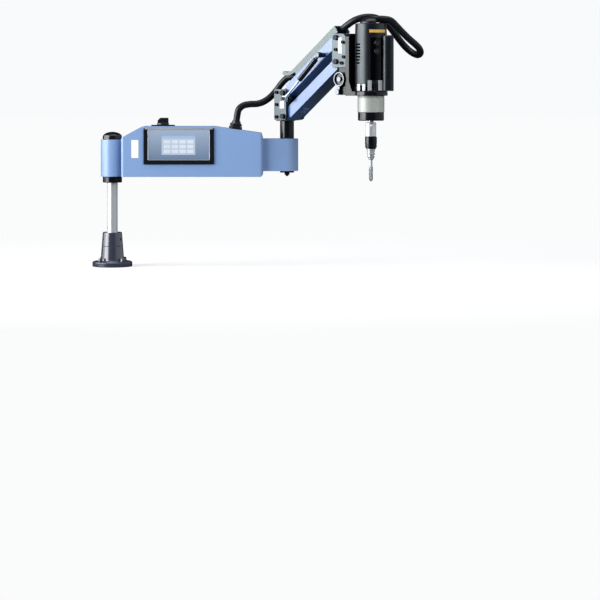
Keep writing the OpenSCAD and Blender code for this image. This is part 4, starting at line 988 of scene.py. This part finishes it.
class TAPPING_OT_tap(bpy.types.Operator):
    """Cuts the tap with a real thread, four flutes and a tapered point"""
    bl_idname = "tapping.tap"
    bl_label = "Tap"

    def execute(self, context):
        s = context.scene.tapping_detail
        low, high = corners("tap")
        outer, shank, fluted, fade_tall = 0.006, 0.00425, 0.041, 0.0015
        point_tall, point_deep = 0.0062, 0.0022
        flutes, flute_deep, flute_half, flute_end = 4, 0.0026, 0.42, 0.004
        first_flute = math.radians(20) + BOOM_TURN
        thread_rows, shank_rows, around = 300, 8, 96
        z = np.r_[low[2], np.linspace(low[2], low[2] + fluted, thread_rows),
                  np.linspace(low[2] + fluted + 0.0005, high[2], shank_rows), high[2]]

        def shape(r, h, t):
            """Radius = thread crest less a triangle wave of height and turn, less the point's
            taper, cut by round flutes, faded to the plain shank above."""
            rise = h - low[2]
            taper = np.clip((point_tall - rise) / point_tall, 0, 1) * point_deep
            phase = (h / s.thread_pitch + t / (2 * np.pi)) % 1
            thread = s.thread_depth * np.abs(2 * phase - 1)
            between = (t - first_flute) % (2 * np.pi / flutes)
            off = np.pi / flutes - np.abs(between - np.pi / flutes)
            cut = flute_deep * np.sqrt(np.clip(1 - (off / flute_half) ** 2, 0, 1))
            cut = cut * np.clip((fluted - flute_end - rise) / flute_end, 0, 1)
            full = outer - taper - thread - cut
            fade = np.clip((rise - fluted + fade_tall) / fade_tall, 0, 1)
            return (full * (1 - fade) + shank * fade) * (r > 0)

        radius = np.r_[0, np.ones(len(z) - 2), 0]
        grid = lathe(radius, z, around, shape) + HEAD
        finish_piece(surface("threaded_tap", grid, sharp=60), "tool_steel", "spindle", "tap")
        return {"FINISHED"}


# What every softbox is turned towards
MACHINE = (0.45, -0.1, 0.4)

# Each softbox: its place, its width and height, and the setting that holds its power
SOFTBOXES = {
    "softbox_left": ((-2.6, -1.45, 1.4), (2.6, 3.0), "key"),
    "softbox_right": ((2.9, -2.6, 1.3), (2.2, 2.6), "fill"),
    "softbox_top": ((0.5, -0.5, 2.9), (2.6, 1.6), "top"),
    "softbox_back": ((1.6, 3.4, 1.9), (2.8, 2.2), "back"),
    "softbox_edge": ((-3.2, 0.55, 1.35), (1.7, 2.4), "edge"),
}


class TAPPING_OT_stage(bpy.types.Operator):
    """Lays the wide pale floor, hangs the softboxes and makes the sky that metal reflects"""
    bl_idname = "tapping.stage"
    bl_label = "Studio stage"

    def execute(self, context):
        s = context.scene.tapping_stage
        self.floor(s)
        boxes = {name: self.softbox(name, spot, size, getattr(s, watts))
                 for name, (spot, size, watts) in SOFTBOXES.items()}
        boxes["softbox_right"].visible_glossy = False
        boxes["softbox_back"].visible_glossy = False
        boxes["softbox_edge"].visible_diffuse = False
        self.sky(context, s.ambient)
        context.scene.view_settings.view_transform = "Standard"
        return {"FINISHED"}

    def floor(self, s):
        """A square floor, wide enough for a camera on any side, a hair below the flange. The
        camera sees it pale and near white beyond the machine, and the object sees it dark."""
        half, below = 40.0, -0.0002
        centre, fade_middle, fade = (0.4, -0.1, 0), 1.1, 1.3
        unseen, white = (0.045, 0.048, 0.052), (0.96, 0.965, 0.97, 1)
        x, y = np.meshgrid([-half, half], [-half, half])
        floor = surface("studio_floor", np.stack([x, y, np.full_like(x, below)], -1),
                        close_columns=False)
        f = Finish("studio_white")
        seen = f.node("LightPath", output="Is Camera Ray")
        reach = f.node("VectorMath", {"operation": "DISTANCE"}, {0: f.place, 1: centre},
                       output="Value")
        pale = f.mix(f.noise(2, 2) * 0.15, tuple(s.floor), darker(s.floor, 0.97))
        plain = f.node("BsdfDiffuse", inputs={"Color": f.mix(seen, unseen, pale)})
        glow = f.node("Emission", inputs={"Color": white, "Strength": 1.0})
        share = seen * (1 - s.shade + s.shade * reach.above(fade_middle, fade))
        floor.data.materials.append(f.end(f.node("MixShader", inputs={0: share, 1: plain, 2: glow})))

    @staticmethod
    def softbox(name, spot, size, watts):
        """A rectangular area light turned towards the machine."""
        data = bpy.data.lights.new(name, "AREA")
        data.shape, data.size, data.size_y, data.energy = "RECTANGLE", *size, watts
        lamp = bpy.data.objects.new(name, data)
        lamp.location = spot
        aim = np.array(MACHINE) - np.array(spot)
        lamp.rotation_euler = (math.atan2(math.hypot(aim[0], aim[1]), -aim[2]), 0,
                               math.atan2(aim[1], aim[0]) - math.pi / 2)
        bpy.context.scene.collection.objects.link(lamp)
        return lamp

    @staticmethod
    def sky(context, ambient):
        """Reflections are white on the object's right and dark elsewhere: a ramp over x, so
        that metal shows bright sides and a dark middle. The camera sees white, and all else
        is lit evenly."""
        x_range, strengths, white = (0.45, 0.9), (0.03, 0.95), 0.97
        world = bpy.data.worlds.new("studio_sky")
        context.scene.world = world
        world.use_nodes = True
        tree = world.node_tree
        tree.nodes.clear()

        def add(kind, inputs=None, **settings):
            """A node's outputs, once its settings are made and its inputs, by number, are given
            their values or links."""
            node = tree.nodes.new("ShaderNode" + kind)
            for key, value in settings.items():
                setattr(node, key, value)
            for key, value in (inputs or {}).items():
                if isinstance(value, bpy.types.NodeSocket):
                    tree.links.new(value, node.inputs[key])
                else:
                    node.inputs[key].default_value = value
            return node.outputs

        seen, way = add("LightPath"), add("TexCoord")["Generated"]
        side = add("VectorMath", {0: way, 1: (1.0, 0.0, 0.0)}, operation="DOT_PRODUCT")["Value"]
        ramp = add("MapRange", dict(enumerate((side, *x_range, *strengths))))[0]
        pick = add("Mix", {0: seen["Is Glossy Ray"], 2: ambient, 3: ramp}, data_type="FLOAT")[0]
        both = add("Mix", {0: seen["Is Camera Ray"], 2: pick, 3: white}, data_type="FLOAT")[0]
        add("OutputWorld", {0: add("Background", {0: (0.97, 0.985, 1.0, 1), 1: both})[0]})


OPERATORS = (TAPPING_OT_camera, TAPPING_OT_hoses, TAPPING_OT_castings, TAPPING_OT_flange_screws,
             TAPPING_OT_screen, TAPPING_OT_labels, TAPPING_OT_shell_trim, TAPPING_OT_tap,
             TAPPING_OT_stage)
GROUPS = {"tapping_hoses": TappingHoses, "tapping_paint": TappingPaint,
          "tapping_detail": TappingDetail, "tapping_screen": TappingScreen,
          "tapping_stage": TappingStage}


class TAPPING_PT_panel(bpy.types.Panel):
    """Lists the steps that dress the machine, with the sizes and colours they use"""
    bl_idname = "TAPPING_PT_panel"
    bl_label = "Arm Tapping Machine"
    bl_space_type = "VIEW_3D"
    bl_region_type = "UI"
    bl_category = "Tapping Machine"

    def draw(self, context):
        for operator in OPERATORS:
            self.layout.operator(operator.bl_idname)
        for name, group in GROUPS.items():
            box = self.layout.box()
            for prop in group.__annotations__:
                box.prop(getattr(context.scene, name), prop)


def register():
    for cls in (*GROUPS.values(), *OPERATORS, TAPPING_PT_panel):
        bpy.utils.register_class(cls)
    for name, group in GROUPS.items():
        setattr(bpy.types.Scene, name, PointerProperty(type=group))


def unregister():
    for name in GROUPS:
        delattr(bpy.types.Scene, name)
    for cls in reversed((*GROUPS.values(), *OPERATORS, TAPPING_PT_panel)):
        bpy.utils.unregister_class(cls)


def main():
    register()
    for operator in OPERATORS:
        group, name = operator.bl_idname.split(".")
        getattr(getattr(bpy.ops, group), name)()


if __name__ == "__main__":
    main()
